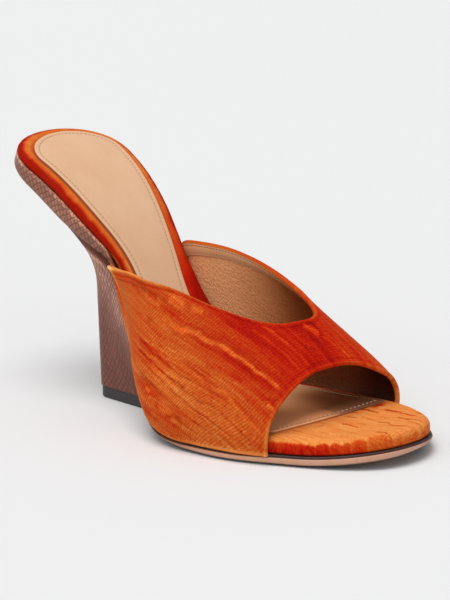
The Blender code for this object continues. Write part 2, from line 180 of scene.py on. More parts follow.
# lines of the pattern on the vamp: start, middle and end in (x, girth from the ridge), strength
# (+ light, - dark), half width
VAMP_LINES = (
    # x0,    g0,    x1,    g1,    x2,    g2,   strength, wide
    (103.0, -66.8, 113.0, -63.2, 126.0, -60.6,  0.16,   0.55),
    (108.0, -63.0, 120.0, -58.9, 134.0, -55.4,  0.14,   0.60),
    (112.0, -46.8, 116.0, -45.2, 120.0, -43.0,  0.32,   0.80),
    (107.0, -41.5, 110.5, -38.2, 114.2, -35.2,  0.34,   1.60),
    (117.0, -34.0, 119.5, -32.4, 121.5, -31.2,  0.30,   1.00),
    (158.4, -35.6, 160.0, -34.8, 161.6, -33.8,  0.46,   0.85),
    (109.6, -75.0, 111.6, -73.9, 113.2, -72.6,  0.50,   0.55),
    (113.0, -75.6, 113.9, -74.7, 114.6, -74.0,  0.45,   0.50),
    (119.5, -73.6, 122.7, -71.8, 126.0, -70.2,  0.36,   0.80),
    (126.0, -73.2, 128.2, -71.8, 130.0, -70.8,  0.32,   0.60),
    (115.5, -79.6, 117.0, -78.4, 118.0, -77.2,  0.36,   0.55),
    (99.4,  -56.6, 102.2, -54.4, 105.0, -52.2, -0.10,   0.90),
    (104.6, -49.9, 106.4, -48.8, 108.0, -47.4, -0.14,   0.80),
    (96.0,  -49.9, 99.0,  -47.8, 101.6, -45.8, -0.14,   0.90),
    (118.0, -55.0, 126.0, -52.0, 138.0, -49.2,  0.10,   0.80),
    (146.0, -53.6, 154.0, -51.4, 163.0, -48.6,  0.12,   0.60),
    (150.0, -47.0, 156.0, -46.2, 163.5, -45.2,  0.10,   0.50),
    (138.0, -15.2, 147.0, -12.0, 157.5,  -8.8,  0.12,   0.60),
    (137.0, -20.0, 147.0, -17.0, 158.5, -13.6,  0.12,   0.50),
    (141.0,  -6.6, 149.0,  -4.2, 158.0,  -1.0,  0.08,   0.60),
    (143.0,   1.8, 145.4,   3.6, 147.8,   6.0,  0.26,   1.50),
    (148.0,   6.4, 153.0,  10.0, 158.0,  13.6,  0.14,   0.60),
    (128.0, -27.0, 136.0, -23.6, 146.0, -20.8, -0.10,   0.70),
    (142.0, -39.6, 150.0, -37.4, 159.0, -35.2, -0.12,   1.60),
)

# the long veins of the pattern: strength, half width, points as (x, girth)
VAMP_VEINS = (
    (0.38,  0.80, ((117.0, -44.5), (120.0, -42.0), (125.0, -38.7), (130.0, -36.7), (132.7, -34.9), (136.7, -33.5),
                   (141.0, -32.3), (150.0, -30.0), (155.0, -28.3), (160.5, -25.8))),
    (-0.10, 1.70, ((135.0, -36.6), (141.0, -34.8), (150.0, -32.4), (158.0, -29.4))),
    (0.24,  0.55, ((136.7, -49.0), (141.0, -48.0), (144.0, -46.2), (150.0, -46.7), (160.0, -46.0), (164.5, -45.0))),
    (-0.28, 0.50, ((107.0, -68.3), (113.7, -66.0), (119.0, -64.0), (125.0, -62.3), (130.0, -61.5), (140.0, -59.6), (152.0, -58.0))),
    (-0.30, 0.50, ((95.0, -71.7), (104.3, -66.7), (111.7, -63.0), (121.7, -60.0), (130.0, -58.0), (141.0, -55.0))),
    (-0.18, 0.50, ((101.0, -76.0), (112.0, -71.0), (124.0, -67.2), (138.0, -64.2), (154.0, -61.6))),
    (-0.16, 0.45, ((118.0, -61.0), (130.0, -56.6), (146.0, -53.0), (160.0, -51.2))),
    (-0.14, 0.45, ((110.0, -56.4), (122.0, -51.4), (136.0, -47.8))),
    (-0.13, 0.40, ((130.0, -63.2), (144.0, -60.6), (160.0, -58.2))),
    (-0.28, 0.50, ((96.7, -66.3), (108.3, -61.7), (117.7, -57.3), (126.7, -55.3), (132.0, -53.0))),
)

# how much more of the footbed shows beside the sock on the medial side
SOCK_WAIST = (
    # s,    more
    (30.0,  0.0),
    (50.0,  0.8),
    (60.0,  1.3),
    (70.0,  1.9),
    (79.0,  2.6),
    (87.0,  3.7),
    (95.0,  5.0),
    (104.0, 6.1),
    (112.0, 6.9),
    (122.0, 7.0),
    (140.0, 4.5),
    (160.0, 1.5),
    (180.0, 0.0),
)

# the sock's stitch row leaves its edge on the inner side of the waist
STITCH_LEAVES = (
    # s,    more
    (79.0,  0.0),
    (87.0,  0.3),
    (95.0,  0.9),
    (103.0, 3.6),
    (109.0, 6.2),
    (118.0, 8.0),
    (132.0, 7.0),
    (160.0, 2.5),
    (186.0, 0.0),
)

# dark strokes on the footbed in front of the sock
TOE_LINES = (
    # s0,    y0,    s1,    y1,    strength, wide
    (194.0,  19.6,  198.5,  22.8,  -0.36,   1.00),
    (198.5,  22.8,  204.5,  22.8,  -0.34,   0.70),
    (203.0,  28.0,  209.6,  28.7,  -0.40,   1.15),
    (209.6,  28.7,  220.1,  28.3,  -0.30,   0.70),
    (215.1,  23.1,  223.6,  21.6,  -0.28,   0.60),
    (220.0,  22.9,  230.3,  21.7,  -0.24,   0.55),
    (224.8,  19.3,  233.0,  17.3,  -0.18,   0.50),
    (215.6,  32.9,  219.5,  32.1,  -0.26,   0.60),
    (214.2,  13.1,  218.5,  14.2,  -0.30,   0.65),
    (218.5,  14.0,  222.0,  11.9,  -0.22,   0.50),
    (221.9,  11.6,  231.3,  11.3,  -0.26,   0.60),
    (226.0,  -0.3,  233.0,   0.0,  -0.28,   0.60),
    (205.9,   1.2,  207.5,   3.1,  -0.28,   0.55),
    (207.5,   3.1,  213.6,   2.1,  -0.26,   0.55),
    (204.0,   2.8,  207.0,   3.2,  -0.20,   0.50),
    (199.2,  10.4,  203.1,  11.8,  -0.28,   0.60),
    (204.0,  14.0,  210.0,  14.1,  -0.14,   0.55),
    (200.8,  -6.7,  201.7,  -4.5,  -0.20,   0.60),
    (195.4,  12.0,  196.6,  15.0,  -0.30,   0.90),
    (197.0,  16.0,  198.6,  17.6,  -0.24,   0.70),
    (197.7,  26.8,  197.0,  34.1,  -0.34,   1.30),
    (195.2,  30.0,  199.6,  31.4,  -0.30,   0.90),
    (209.0,  20.2,  213.0,  19.4,  -0.12,   0.50),
    (211.0,   7.4,  216.0,   7.0,  -0.12,   0.50),
    (206.0, -11.6,  211.0, -11.2,  -0.10,   0.60),
    (217.0,  -4.8,  221.0,  -5.2,  -0.12,   0.55),
    (198.0, -17.4,  202.0, -16.6,  -0.12,   0.70),
    (228.0,   6.6,  233.0,   7.2,  -0.16,   0.50),
)

# gathers of the cover down the toe's outer side: where along the edge, how high, how red
TOE_GATHERS = (
    # from,   to,    top, red
    (186.0,  241.2,  5.2, 1.00),
    (241.2,  246.8,  5.2, 0.95),
    (246.8,  251.8,  5.1, 0.92),
    (251.8,  254.9,  5.1, 0.90),
    (254.9,  261.4,  5.5, 0.78),
    (261.4,  271.4,  6.2, 0.48),
)


# ------------------------------------------------------------------ curves
def column(table, index):
    return np.array([row[index] for row in table], float)


def monotone(xs, ys):
    """Cubic through the rows that never overshoots between two of them."""
    xs, ys = np.asarray(xs, float), np.asarray(ys, float)
    h, d = np.diff(xs), np.diff(ys) / np.diff(xs)
    m = np.zeros_like(ys)
    for i in range(1, len(xs) - 1):
        if d[i - 1] * d[i] > 0:
            w1, w2 = 2 * h[i] + h[i - 1], h[i] + 2 * h[i - 1]
            m[i] = (w1 + w2) / (w1 / d[i - 1] + w2 / d[i])
    m[0], m[-1] = d[0], d[-1]

    def at(x):
        x = np.clip(np.asarray(x, float), xs[0], xs[-1])
        i = np.clip(np.searchsorted(xs, x, side="right") - 1, 0, len(h) - 1)
        t = (x - xs[i]) / h[i]
        return (
            (1 + 2 * t) * (1 - t) ** 2 * ys[i]
            + t * (1 - t) ** 2 * h[i] * m[i]
            + t * t * (3 - 2 * t) * ys[i + 1]
            + t * t * (t - 1) * h[i] * m[i + 1]
        )

    return at


def smooth(xs, ys):
    """Natural cubic spline through the rows."""
    xs, ys = np.asarray(xs, float), np.asarray(ys, float)
    n, h = len(xs), np.diff(xs)
    a, b = np.eye(n), np.zeros(n)
    for i in range(1, n - 1):
        a[i, i - 1 : i + 2] = h[i - 1], 2 * (h[i - 1] + h[i]), h[i]
        b[i] = 6 * ((ys[i + 1] - ys[i]) / h[i] - (ys[i] - ys[i - 1]) / h[i - 1])
    k = np.linalg.solve(a, b)

    def at(x):
        x = np.clip(np.asarray(x, float), xs[0], xs[-1])
        i = np.clip(np.searchsorted(xs, x, side="right") - 1, 0, n - 2)
        l, r = xs[i + 1] - x, x - xs[i]
        return (
            (k[i] * l**3 + k[i + 1] * r**3) / (6 * h[i])
            + (ys[i] / h[i] - k[i] * h[i] / 6) * l
            + (ys[i + 1] / h[i] - k[i + 1] * h[i] / 6) * r
        )

    return at


def ease(x, lo, hi):
    t = np.clip((np.asarray(x, float) - lo) / (hi - lo), 0, 1)
    return t * t * (3 - 2 * t)


def bell(x, centre, wide):
    return np.exp(-(((np.asarray(x, float) - centre) / wide) ** 2))


def lattice(i, j, seed):
    h = (i.astype(np.int64) * 374761393 + j.astype(np.int64) * 668265263 + seed * 1442695041) & 0xFFFFFFFF
    h = ((h ^ (h >> 13)) * 1274126177) & 0xFFFFFFFF
    return ((h ^ (h >> 16)) & 0xFFFF) / 32767.5 - 1.0


def noise(u, v, seed=0):
    """Smooth value noise from -1 to 1, the same each run."""
    u, v = np.broadcast_arrays(np.asarray(u, float), np.asarray(v, float))
    i, j = np.floor(u), np.floor(v)
    a, b = u - i, v - j
    a, b = a * a * a * (a * (a * 6 - 15) + 10), b * b * b * (b * (b * 6 - 15) + 10)
    return (
        lattice(i, j, seed) * (1 - a) * (1 - b)
        + lattice(i + 1, j, seed) * a * (1 - b)
        + lattice(i, j + 1, seed) * (1 - a) * b
        + lattice(i + 1, j + 1, seed) * a * b
    )


# ------------------------------------------------------------------ the last's bottom
S_ROWS = column(LAST_BOTTOM, 0)
pitch_at = monotone(S_ROWS, column(LAST_BOTTOM, 1))
lateral_at = smooth(S_ROWS, column(LAST_BOTTOM, 2))
medial_at = smooth(S_ROWS, column(LAST_BOTTOM, 3))
axis_at = smooth(S_ROWS, column(LAST_BOTTOM, 4))
TREAD_Z = OUTSOLE_THICK + WELT_THICK + 2 * GAP
S_GRID = np.linspace(-12.0, SOLE_LENGTH + 12.0, 1053)
_pitch = np.radians(pitch_at(S_GRID))
_mid = (_pitch[1:] + _pitch[:-1]) / 2
X_GRID = np.concatenate([[0.0], np.cumsum(np.cos(_mid) * np.diff(S_GRID))])
Z_GRID = np.concatenate([[0.0], np.cumsum(-np.sin(_mid) * np.diff(S_GRID))])
X_GRID = X_GRID - np.interp(0.0, S_GRID, X_GRID)
Z_GRID = Z_GRID - Z_GRID.min() + TREAD_Z

# where the design frame lies in the row frame, in metres
_lift_low, _lift_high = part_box("top_lift")
SHIFT = np.array([
    _lift_low.x - (HEEL_BASE_X[0] + LIFT_INSET) * 0.001,
    (_lift_low.y + _lift_high.y) / 2,
    0.0,
])


def place(s, y, n):
    """Point of the design frame at length s, across y, n above the footbed's bottom."""
    s = np.asarray(s, float)
    p = np.radians(pitch_at(s))
    x = np.interp(s, S_GRID, X_GRID) + n * np.sin(p)
    z = np.interp(s, S_GRID, Z_GRID) + n * np.cos(p)
    return np.stack([x, np.broadcast_to(y, x.shape), z], axis=-1)


def up_at(s):
    p = np.radians(pitch_at(s))
    return np.stack([np.sin(p), np.zeros_like(p), np.cos(p)], axis=-1)


def s_of_x(x):
    return np.interp(x, X_GRID, S_GRID)


def end_closing(s):
    heel = np.clip((HEEL_END_ROUND - s) / HEEL_END_ROUND, 0, 1)
    toe = np.clip((s - SOLE_LENGTH + TOE_END_ROUND) / TOE_END_ROUND, 0, 1)
    return np.sqrt(1 - heel**2) * (1 - toe**TOE_END_POWER) ** (1 / TOE_END_POWER)


def side_y(s, side):
    """Footbed's edge at s: side -1 lateral, +1 medial."""
    half = np.where(side < 0, lateral_at(s), medial_at(s))
    return axis_at(s) + side * half * end_closing(s)


def stations(s0, s1, count):
    t = np.linspace(0, 1, count + 1)
    lean = t - 0.86 * np.sin(2 * math.pi * t) / (2 * math.pi)
    return s0 + (s1 - s0) * lean


def outline(count):
    """Closed outline in (s, y): heel end, lateral side, toe tip, medial side."""
    s = stations(0.0, SOLE_LENGTH, count)
    lat = np.stack([s, side_y(s, -1)], axis=1)
    med = np.stack([s, side_y(s, 1)], axis=1)[-2:0:-1]
    return np.concatenate([lat, med])


def grown(loop, offset):
    fwd, back = np.roll(loop, -1, axis=0), np.roll(loop, 1, axis=0)
    t = fwd - back
    t /= np.linalg.norm(t, axis=1)[:, None]
    out = np.stack([t[:, 1], -t[:, 0]], axis=1)
    return loop + out * np.broadcast_to(offset, len(loop))[:, None]


def on_last(loop, n):
    return place(loop[:, 0], loop[:, 1], n)


# ------------------------------------------------------------------ the upper's surface
RIDGE_X = column(LAST_RIDGE, 0)
ridge_z_at = smooth(RIDGE_X, column(LAST_RIDGE, 1))
ridge_y_at = smooth(RIDGE_X, column(LAST_RIDGE, 2))
bulge_lat_at = smooth(RIDGE_X, column(LAST_RIDGE, 3))
bulge_med_at = smooth(RIDGE_X, column(LAST_RIDGE, 4))
topline_x_at = smooth(column(UPPER_EDGES, 0), column(UPPER_EDGES, 1))
toe_edge_x_at = smooth(column(UPPER_EDGES, 0), column(UPPER_EDGES, 2))


def upper_point(x, around):
    """Outside of the upper at station x, around = 0 at the lateral sole edge to 1 at the medial."""
    x, around = np.asarray(x, float), np.clip(np.asarray(around, float), 0, 1)
    s = s_of_x(x)
    foot = np.interp(s, S_GRID, Z_GRID) + UPPER_BACK_LIFT * (1 - ease(x, 74.0, 110.0))
    side = np.where(around < 0.5, -1.0, 1.0)
    edge = side_y(s, side) + side * (UPPER_CLEAR + UPPER_THICK)
    a = math.pi * around
    power = np.where(side < 0, *SECTION_POWER)
    c, d = np.abs(np.cos(a)) ** power, np.maximum(np.sin(a), 0.0) ** power
    ridge_y = ridge_y_at(x)
    y = ridge_y + (edge - ridge_y) * c
    z = foot + (ridge_z_at(x) - foot) * d
    up = (z - foot) / BULGE_HEIGHT
    bulge = np.where(side < 0, bulge_lat_at(x), bulge_med_at(x))
    y = y + side * bulge * up * np.exp(1 - up)
    return np.stack([x, y, z], axis=-1)


def upper_normal(x, around):
    """Unit normal out of the foot."""
    h = 0.004
    lo, hi = np.clip(around - h, 0, 1), np.clip(around + h, 0, 1)
    da = upper_point(x, hi) - upper_point(x, lo)
    dx = upper_point(x + 0.4, around) - upper_point(x - 0.4, around)
    n = np.cross(dx, da)
    n /= np.linalg.norm(n, axis=-1)[..., None]
    outward = np.stack([np.zeros_like(x), np.where(around < 0.5, -1.0, 1.0), np.ones_like(x)], axis=-1)
    return n * np.sign((n * outward).sum(-1))[..., None]


# girth from the ridge, tabulated over (x, around)
_gx = np.linspace(50.0, 172.0, 245)
_ga = np.linspace(0.0, 1.0, 401)
_gp = upper_point(np.broadcast_to(_gx[:, None], (245, 401)), np.broadcast_to(_ga[None, :], (245, 401)))
_girth = np.concatenate([np.zeros((245, 1)), np.cumsum(np.linalg.norm(np.diff(_gp, axis=1), axis=2), axis=1)], axis=1)
_girth = _girth - _girth[:, 200:201]


def girth_at(x, around):
    i = np.clip((x - _gx[0]) / (_gx[1] - _gx[0]), 0, 243.999)
    j = np.clip(around / (_ga[1] - _ga[0]), 0, 399.999)
    i0, j0 = i.astype(int), j.astype(int)
    fi, fj = i - i0, j - j0
    return (
        _girth[i0, j0] * (1 - fi) * (1 - fj)
        + _girth[i0 + 1, j0] * fi * (1 - fj)
        + _girth[i0, j0 + 1] * (1 - fi) * fj
        + _girth[i0 + 1, j0 + 1] * fi * fj
    )


_slope_x = np.linspace(50.0, 172.0, 245)
_slope_run = np.cumsum(monotone(column(STREAK_SLOPE, 0), column(STREAK_SLOPE, 1))(_slope_x)) * (_slope_x[1] - _slope_x[0])


rib_lean_at = monotone(column(RIB_LEAN, 0), column(RIB_LEAN, 1))


def streak_frame(x, girth):
    """(along, across) the watered streaks, in mm."""
    lift = np.interp(x, _slope_x, _slope_run)
    low, up = np.maximum(-girth - 44.0, 0.0), np.maximum(34.0 - np.abs(girth), 0.0)
    lean = 0.62 * ease(x, 108.0, 142.0) * low**2 / (low + 10.0) + 0.14 * up**2 / (up + 14.0)
    return x + rib_lean_at(x) * (np.abs(girth) - 50.0) + lean, girth - lift


def line_mask(px, py, line):
    """How near each point is to a listed stroke: the distance to it, and how far along the stroke the nearest place
    lies.
    """
    pts = np.array(line, float)
    best, where = np.full(px.shape, 1e9), np.zeros(px.shape)
    total = np.concatenate([[0.0], np.cumsum(np.linalg.norm(np.diff(pts, axis=0), axis=1))])
    for k in range(len(pts) - 1):
        a, d = pts[k], pts[k + 1] - pts[k]
        length = np.linalg.norm(d)
        t = np.clip(((px - a[0]) * d[0] + (py - a[1]) * d[1]) / length**2, 0, 1)
        r = np.hypot(px - a[0] - t * d[0], py - a[1] - t * d[1])
        near = r < best
        best = np.where(near, r, best)
        where = np.where(near, (total[k] + t * length) / total[-1], where)
    return best, where


def spline3(x0, g0, x1, g1, x2, g2, count=13):
    """A soft curve through three points."""
    t = np.linspace(0, 1, count)[:, None]
    p0, p1, p2 = np.array([x0, g0]), np.array([x1, g1]), np.array([x2, g2])
    c = 2 * p1 - (p0 + p2) / 2
    return (1 - t) ** 2 * p0 + 2 * t * (1 - t) * c + t * t * p2


# ------------------------------------------------------------------ colours
def linear(r, g, b):
    """sRGB 0-255 to linear."""
    c = np.array([r, g, b], float) / 255.0
    return np.where(c <= 0.04045, c / 12.92, ((c + 0.055) / 1.055) ** 2.4)


# the velvet's tones, from nap seen into to nap seen along
TONES = (
    # tone, r,   g,   b
    (0.00, 132,  12,   5),
    (0.18, 188,  22,   5),
    (0.38, 205,  56,  14),
    (0.58, 212,  97,  33),
    (0.78, 234, 144,  70),
    (1.00, 250, 194, 124),
)


# ------------------------------------------------------------------ mesh helpers
def new_object(name, verts, faces, material, smooth_angle=None, attributes=None):
    """A mesh piece from points in mm in the design frame."""
    mesh = bpy.data.meshes.new(name)
    pts = np.asarray(verts, float) * 0.001 + SHIFT
    mesh.from_pydata(pts.tolist(), [], [list(map(int, f)) for f in faces])
    for key, values in (attributes or {}).items():
        values = np.asarray(values, np.float32)
        kind, field = {1: ("FLOAT", "value"), 3: ("FLOAT_VECTOR", "vector"), 4: ("FLOAT_COLOR", "color")}[values.size // len(values)]
        mesh.attributes.new(key, kind, "POINT").data.foreach_set(field, values.ravel())
    bm = bmesh.new()
    bm.from_mesh(mesh)
    bmesh.ops.remove_doubles(bm, verts=bm.verts, dist=1e-7)
    bmesh.ops.dissolve_degenerate(bm, edges=bm.edges, dist=1e-8)
    bmesh.ops.recalc_face_normals(bm, faces=bm.faces)
    if bm.calc_volume(signed=True) < 0:
        bmesh.ops.reverse_faces(bm, faces=bm.faces)
    bm.to_mesh(mesh)
    bm.free()
    mesh.materials.append(material)
    mesh.shade_smooth()
    if smooth_angle:
        mesh.set_sharp_from_angle(angle=math.radians(smooth_angle))
    obj = bpy.data.objects.new(name, mesh)
    bpy.context.scene.collection.objects.link(obj)
    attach(obj, "root")
    return obj


def loft_faces(rows, cols, closed_cols=True, start=0):
    """Quads between rows of cols points each."""
    i = np.arange(rows - 1)[:, None] * cols + start
    j = np.arange(cols if closed_cols else cols - 1)[None, :]
    k = (j + 1) % cols
    return np.stack([i + j, i + k, i + cols + k, i + cols + j], axis=-1).reshape(-1, 4)


def zip_faces(left, right):
    """Triangles and quads that join two open chains of vertex numbers, end to end."""
    faces, i, j = [], 0, 0
    n, m = len(left) - 1, len(right) - 1
    while i < n or j < m:
        if j >= m or (i < n and (i + 1) / n <= (j + 1) / m):
            faces.append((left[i], left[i + 1], right[j]))
            i += 1
        else:
            faces.append((left[i], right[j + 1], right[j]))
            j += 1
    return faces


def skeleton(loop, rings, s_lo, s_hi, power=1.0):
    """Rings from a closed outline in (s, y) in to its middle line, the last one on that line."""
    n = len(loop)
    half = n // 2
    s = np.clip(loop[:, 0], s_lo, s_hi)
    lat = loop[: half + 1]
    med = np.concatenate([loop[half:], loop[:1]])[::-1]
    y = (np.interp(s, lat[:, 0], lat[:, 1]) + np.interp(s, med[:, 0], med[:, 1])) / 2
    axis = np.stack([s, y], axis=1)
    f = np.linspace(0, 1, rings + 1) ** power
    return loop[None] * (1 - f)[:, None, None] + axis[None] * f[:, None, None]


# ------------------------------------------------------------------ materials
class Nodes:
    """Short hand for building one procedural material."""

    def __init__(self, name):
        self.mat = bpy.data.materials.new(name)
        self.mat.use_nodes = True
        self.tree = self.mat.node_tree
        self.tree.nodes.clear()
        self.out = self.tree.nodes.new("ShaderNodeOutputMaterial")
        self.shader = self.tree.nodes.new("ShaderNodeBsdfPrincipled")
        self.tree.links.new(self.shader.outputs[0], self.out.inputs[0])

    def put(self, kind, inputs=None, **props):
        node = self.tree.nodes.new("ShaderNode" + kind)
        for key, value in props.items():
            setattr(node, key, value)
        for key, value in (inputs or {}).items():
            if isinstance(value, bpy.types.NodeSocket):
                self.tree.links.new(value, node.inputs[key])
            else:
                node.inputs[key].default_value = value
        return node

    def set(self, **values):
        for key, value in values.items():
            socket = self.shader.inputs[key.replace("_", " ")]
            if isinstance(value, bpy.types.NodeSocket):
                self.tree.links.new(value, socket)
            else:
                socket.default_value = value
        return self.mat

    def attribute(self, name, output="Vector"):
        return self.put("Attribute", attribute_name=name).outputs[output]

    def stretched(self, vector, scale, turn=0.0, shift=(0, 0, 0)):
        return self.put("Mapping", {"Vector": vector, "Scale": scale, "Rotation": (0, 0, turn), "Location": shift}).outputs[0]

    def noise(self, vector, scale, detail=2.0, rough=0.5, output=0, **props):
        return self.put("TexNoise", {"Vector": vector, "Scale": scale, "Detail": detail, "Roughness": rough}, **props).outputs[output]

    def math(self, op, a, b=0.0, c=0.0):
        return self.put("Math", {0: a, 1: b, 2: c}, operation=op).outputs[0]

    def range(self, value, lo, hi, to_lo, to_hi):
        return self.put("MapRange", {"Value": value, "From Min": lo, "From Max": hi, "To Min": to_lo, "To Max": to_hi}).outputs[0]

    def times(self, colour, factor):
        return self.put("VectorMath", {0: colour, "Scale": factor}, operation="SCALE").outputs[0]

    def ramp(self, value, rows):
        """Colour by value through rows of (value, r, g, b)."""
        node = self.put("ValToRGB", {0: value})
        stops = node.color_ramp.elements
        for k, (at, r, g, b) in enumerate(rows):
            stop = stops[0] if k == 0 else (stops[len(stops) - 1] if k == len(rows) - 1 else stops.new(at))
            stop.position, stop.color = at, (*linear(r, g, b), 1.0)
        return node.outputs[0]

    def paint(self, colour, by):
        return self.put("VectorMath", {0: colour, 1: by}, operation="MULTIPLY").outputs[0]

    def mix(self, factor, a, b):
        node = self.tree.nodes.new("ShaderNodeMix")
        node.data_type = "RGBA"
        for index, value in ((0, factor), (6, a), (7, b)):
            if isinstance(value, bpy.types.NodeSocket):
                self.tree.links.new(value, node.inputs[index])
            elif index == 0:
                node.inputs[0].default_value = value
            else:
                node.inputs[index].default_value = (*value, 1.0) if len(value) == 3 else value
        return node.outputs[2]

    def bump(self, height, distance, strength=1.0, under=None):
        inputs = {"Height": height, "Distance": distance, "Strength": strength}
        if under is not None:
            inputs["Normal"] = under
        return self.put("Bump", inputs).outputs[0]


def velvet(name, rib=1.0, rib_depth=0.08):
    """Watered velvet: its tone and a shade factor, which carries painted shade and highlights as well as darker marks
    of the pattern, come with the mesh; ribs and nap come from the fabric's own frame.
    """
    m = Nodes(name)
    tone, shade, frame_ = m.attribute("tone", "Fac"), m.attribute("shade", "Fac"), m.attribute("weave")
    weave = m.stretched(frame_, (1, 1, 0))
    shows = m.put("SeparateXYZ", {0: frame_}).outputs[2]
    ribs = m.put("TexWave", {"Vector": weave, "Scale": 0.31416 / rib, "Distortion": 1.3, "Detail": 2.0, "Detail Scale": 1.6, "Detail Roughness": 0.65},
                 wave_type="BANDS", bands_direction="X", wave_profile="SIN").outputs["Fac"]
    strand = m.noise(m.stretched(weave, (0.06, 1.25, 0)), 1.0, 2.0, 0.6)
    dash = m.noise(m.stretched(weave, (1.25, 0.34, 0)), 1.0, 2.0, 0.6)
    nap = m.noise(m.stretched(weave, (1.7, 1.7, 0)), 1.0, 2.0, 0.6)
    # the ribs show where the nap lies over, and hardly where it stands
    lively = m.math("MULTIPLY", m.range(tone, 0.12, 0.46, 0.45, 1.0), shows)
    fine = m.math("ADD", m.range(ribs, 0, 1, -0.06, 0.06), m.range(dash, 0, 1, -0.19, 0.19))
    fine = m.math("MULTIPLY", fine, lively)
    fine = m.math("ADD", fine, m.math("MULTIPLY", m.range(nap, 0, 1, -0.26, 0.26), m.range(shows, 0.0, 1.0, 0.4, 1.0)))
    fine = m.math("ADD", fine, m.math("MULTIPLY", m.range(strand, 0, 1, -0.18, 0.18), m.range(shows, 0.0, 1.0, 0.4, 1.0)))
    base = m.times(m.ramp(m.math("ADD", tone, fine), TONES), shade)
    height = m.math("ADD", m.math("MULTIPLY", m.math("MULTIPLY", ribs, shows), 0.5), m.math("MULTIPLY", strand, 0.5))
    height = m.math("ADD", height, m.math("MULTIPLY", nap, 0.6))
    rough = m.range(dash, 0.2, 0.8, 0.66, 0.84)
    return m.set(Base_Color=base, Roughness=rough, Normal=m.bump(height, rib_depth * 0.001, 0.8),
                 Sheen_Weight=0.32, Sheen_Roughness=0.20, Sheen_Tint=(1.0, 0.52, 0.20, 1.0), Specular_IOR_Level=0.04)


def smooth_leather(name, colour, deep, rough=(0.40, 0.55), grain=0.045, grain_scale=2.6):
    """Fine-grained leather; the attribute paint carries painted shade and painted highlights, and some colour, for
    each place.
    """
    m = Nodes(name)
    weave = m.attribute("weave")
    paint = m.attribute("paint", "Color")
    cloud = m.noise(m.stretched(weave, (0.045, 0.06, 0.05)), 1.0, 4.0, 0.6)
    pores = m.put("TexVoronoi", {"Vector": weave, "Scale": grain_scale, "Randomness": 1.0}, feature="F1", distance="EUCLIDEAN").outputs["Distance"]
    speck = m.noise(weave, grain_scale * 0.6, 4.0, 0.6)
    base = m.mix(m.range(cloud, 0.3, 0.7, 0.0, 1.0), colour, deep)
    base = m.times(base, m.range(speck, 0.25, 0.75, 0.96, 1.04))
    base = m.paint(base, paint)
    height = m.math("ADD", pores, m.math("MULTIPLY", speck, 0.7))
    return m.set(Base_Color=base, Roughness=m.range(cloud, 0.25, 0.75, *rough), Normal=m.bump(height, grain * 0.001, 0.7),
                 Specular_IOR_Level=0.40)


def pebbled_leather(name, colour, deep):
    """Lining leather with a rounded pebble grain."""
    m = Nodes(name)
    weave, paint = m.attribute("weave"), m.attribute("paint", "Color")
    bent = m.put("VectorMath", {0: weave, 1: m.times(m.noise(weave, 0.8, 2.0, output=1), 0.55)}, operation="ADD").outputs[0]
    cells = m.put("TexVoronoi", {"Vector": bent, "Scale": 1.15, "Randomness": 0.9, "Smoothness": 0.35}, feature="SMOOTH_F1").outputs["Distance"]
    fine = m.noise(weave, 2.4, 3.0, 0.6)
    cloud = m.noise(m.stretched(weave, (0.05, 0.07, 1)), 1.0, 3.0)
    base = m.mix(m.range(cloud, 0.3, 0.7, 0.0, 1.0), colour, deep)
    base = m.times(base, m.range(cells, 0.1, 0.8, 1.07, 0.86))
    base = m.paint(base, paint)
    height = m.math("ADD", m.math("MULTIPLY", cells, -1.0), m.math("MULTIPLY", fine, 0.25))
    return m.set(Base_Color=base, Roughness=m.range(fine, 0.2, 0.8, 0.46, 0.62), Normal=m.bump(height, 0.00034, 0.9), Specular_IOR_Level=0.22)


def scaled_leather(name):
    """Leather embossed with rows of small scales, for the heel."""
    m = Nodes(name)
    weave, paint = m.attribute("weave"), m.attribute("paint", "Color")
    drift = m.times(m.noise(weave, 0.10, 1.0, output=1), 1.2)
    bent = m.put("VectorMath", {0: weave, 1: drift}, operation="ADD").outputs[0]
    flat = m.stretched(bent, (0.54, 0.45, 0.0), math.radians(45))
    cell = m.put("TexVoronoi", {"Vector": flat, "Scale": 1.0, "Randomness": 0.18}, feature="F1", voronoi_dimensions="2D")
    edge = m.put("TexVoronoi", {"Vector": flat, "Scale": 1.0, "Randomness": 0.18}, feature="DISTANCE_TO_EDGE", voronoi_dimensions="2D").outputs["Distance"]
    one = m.put("SeparateColor", {0: cell.outputs["Color"]}).outputs[0]
    fine = m.noise(weave, 3.0, 3.0, 0.6)
    broad = m.noise(m.stretched(weave, (0.05, 0.05, 0.05)), 1.0, 3.0)
    groove = m.range(edge, 0.01, 0.12, 0.0, 1.0)
    base = m.mix(m.range(broad, 0.3, 0.7, 0.0, 1.0), tuple(linear(136, 82, 65)), tuple(linear(120, 69, 54)))
    base = m.times(base, m.range(one, 0.0, 1.0, 0.80, 1.22))
    base = m.mix(groove, tuple(linear(80, 47, 38)), base)
    base = m.times(base, m.range(fine, 0.25, 0.75, 0.92, 1.08))
    base = m.paint(base, paint)
    dome = m.math("SUBTRACT", 1.0, m.math("POWER", cell.outputs["Distance"], 1.6))
    height = m.math("ADD", m.math("MULTIPLY", groove, 0.8), m.math("MULTIPLY", dome, 0.5))
    height = m.math("ADD", height, m.math("MULTIPLY", fine, 0.15))
    return m.set(Base_Color=base, Roughness=m.range(one, 0.0, 1.0, 0.32, 0.48), Normal=m.bump(height, 0.00022, 0.9), Specular_IOR_Level=0.36)


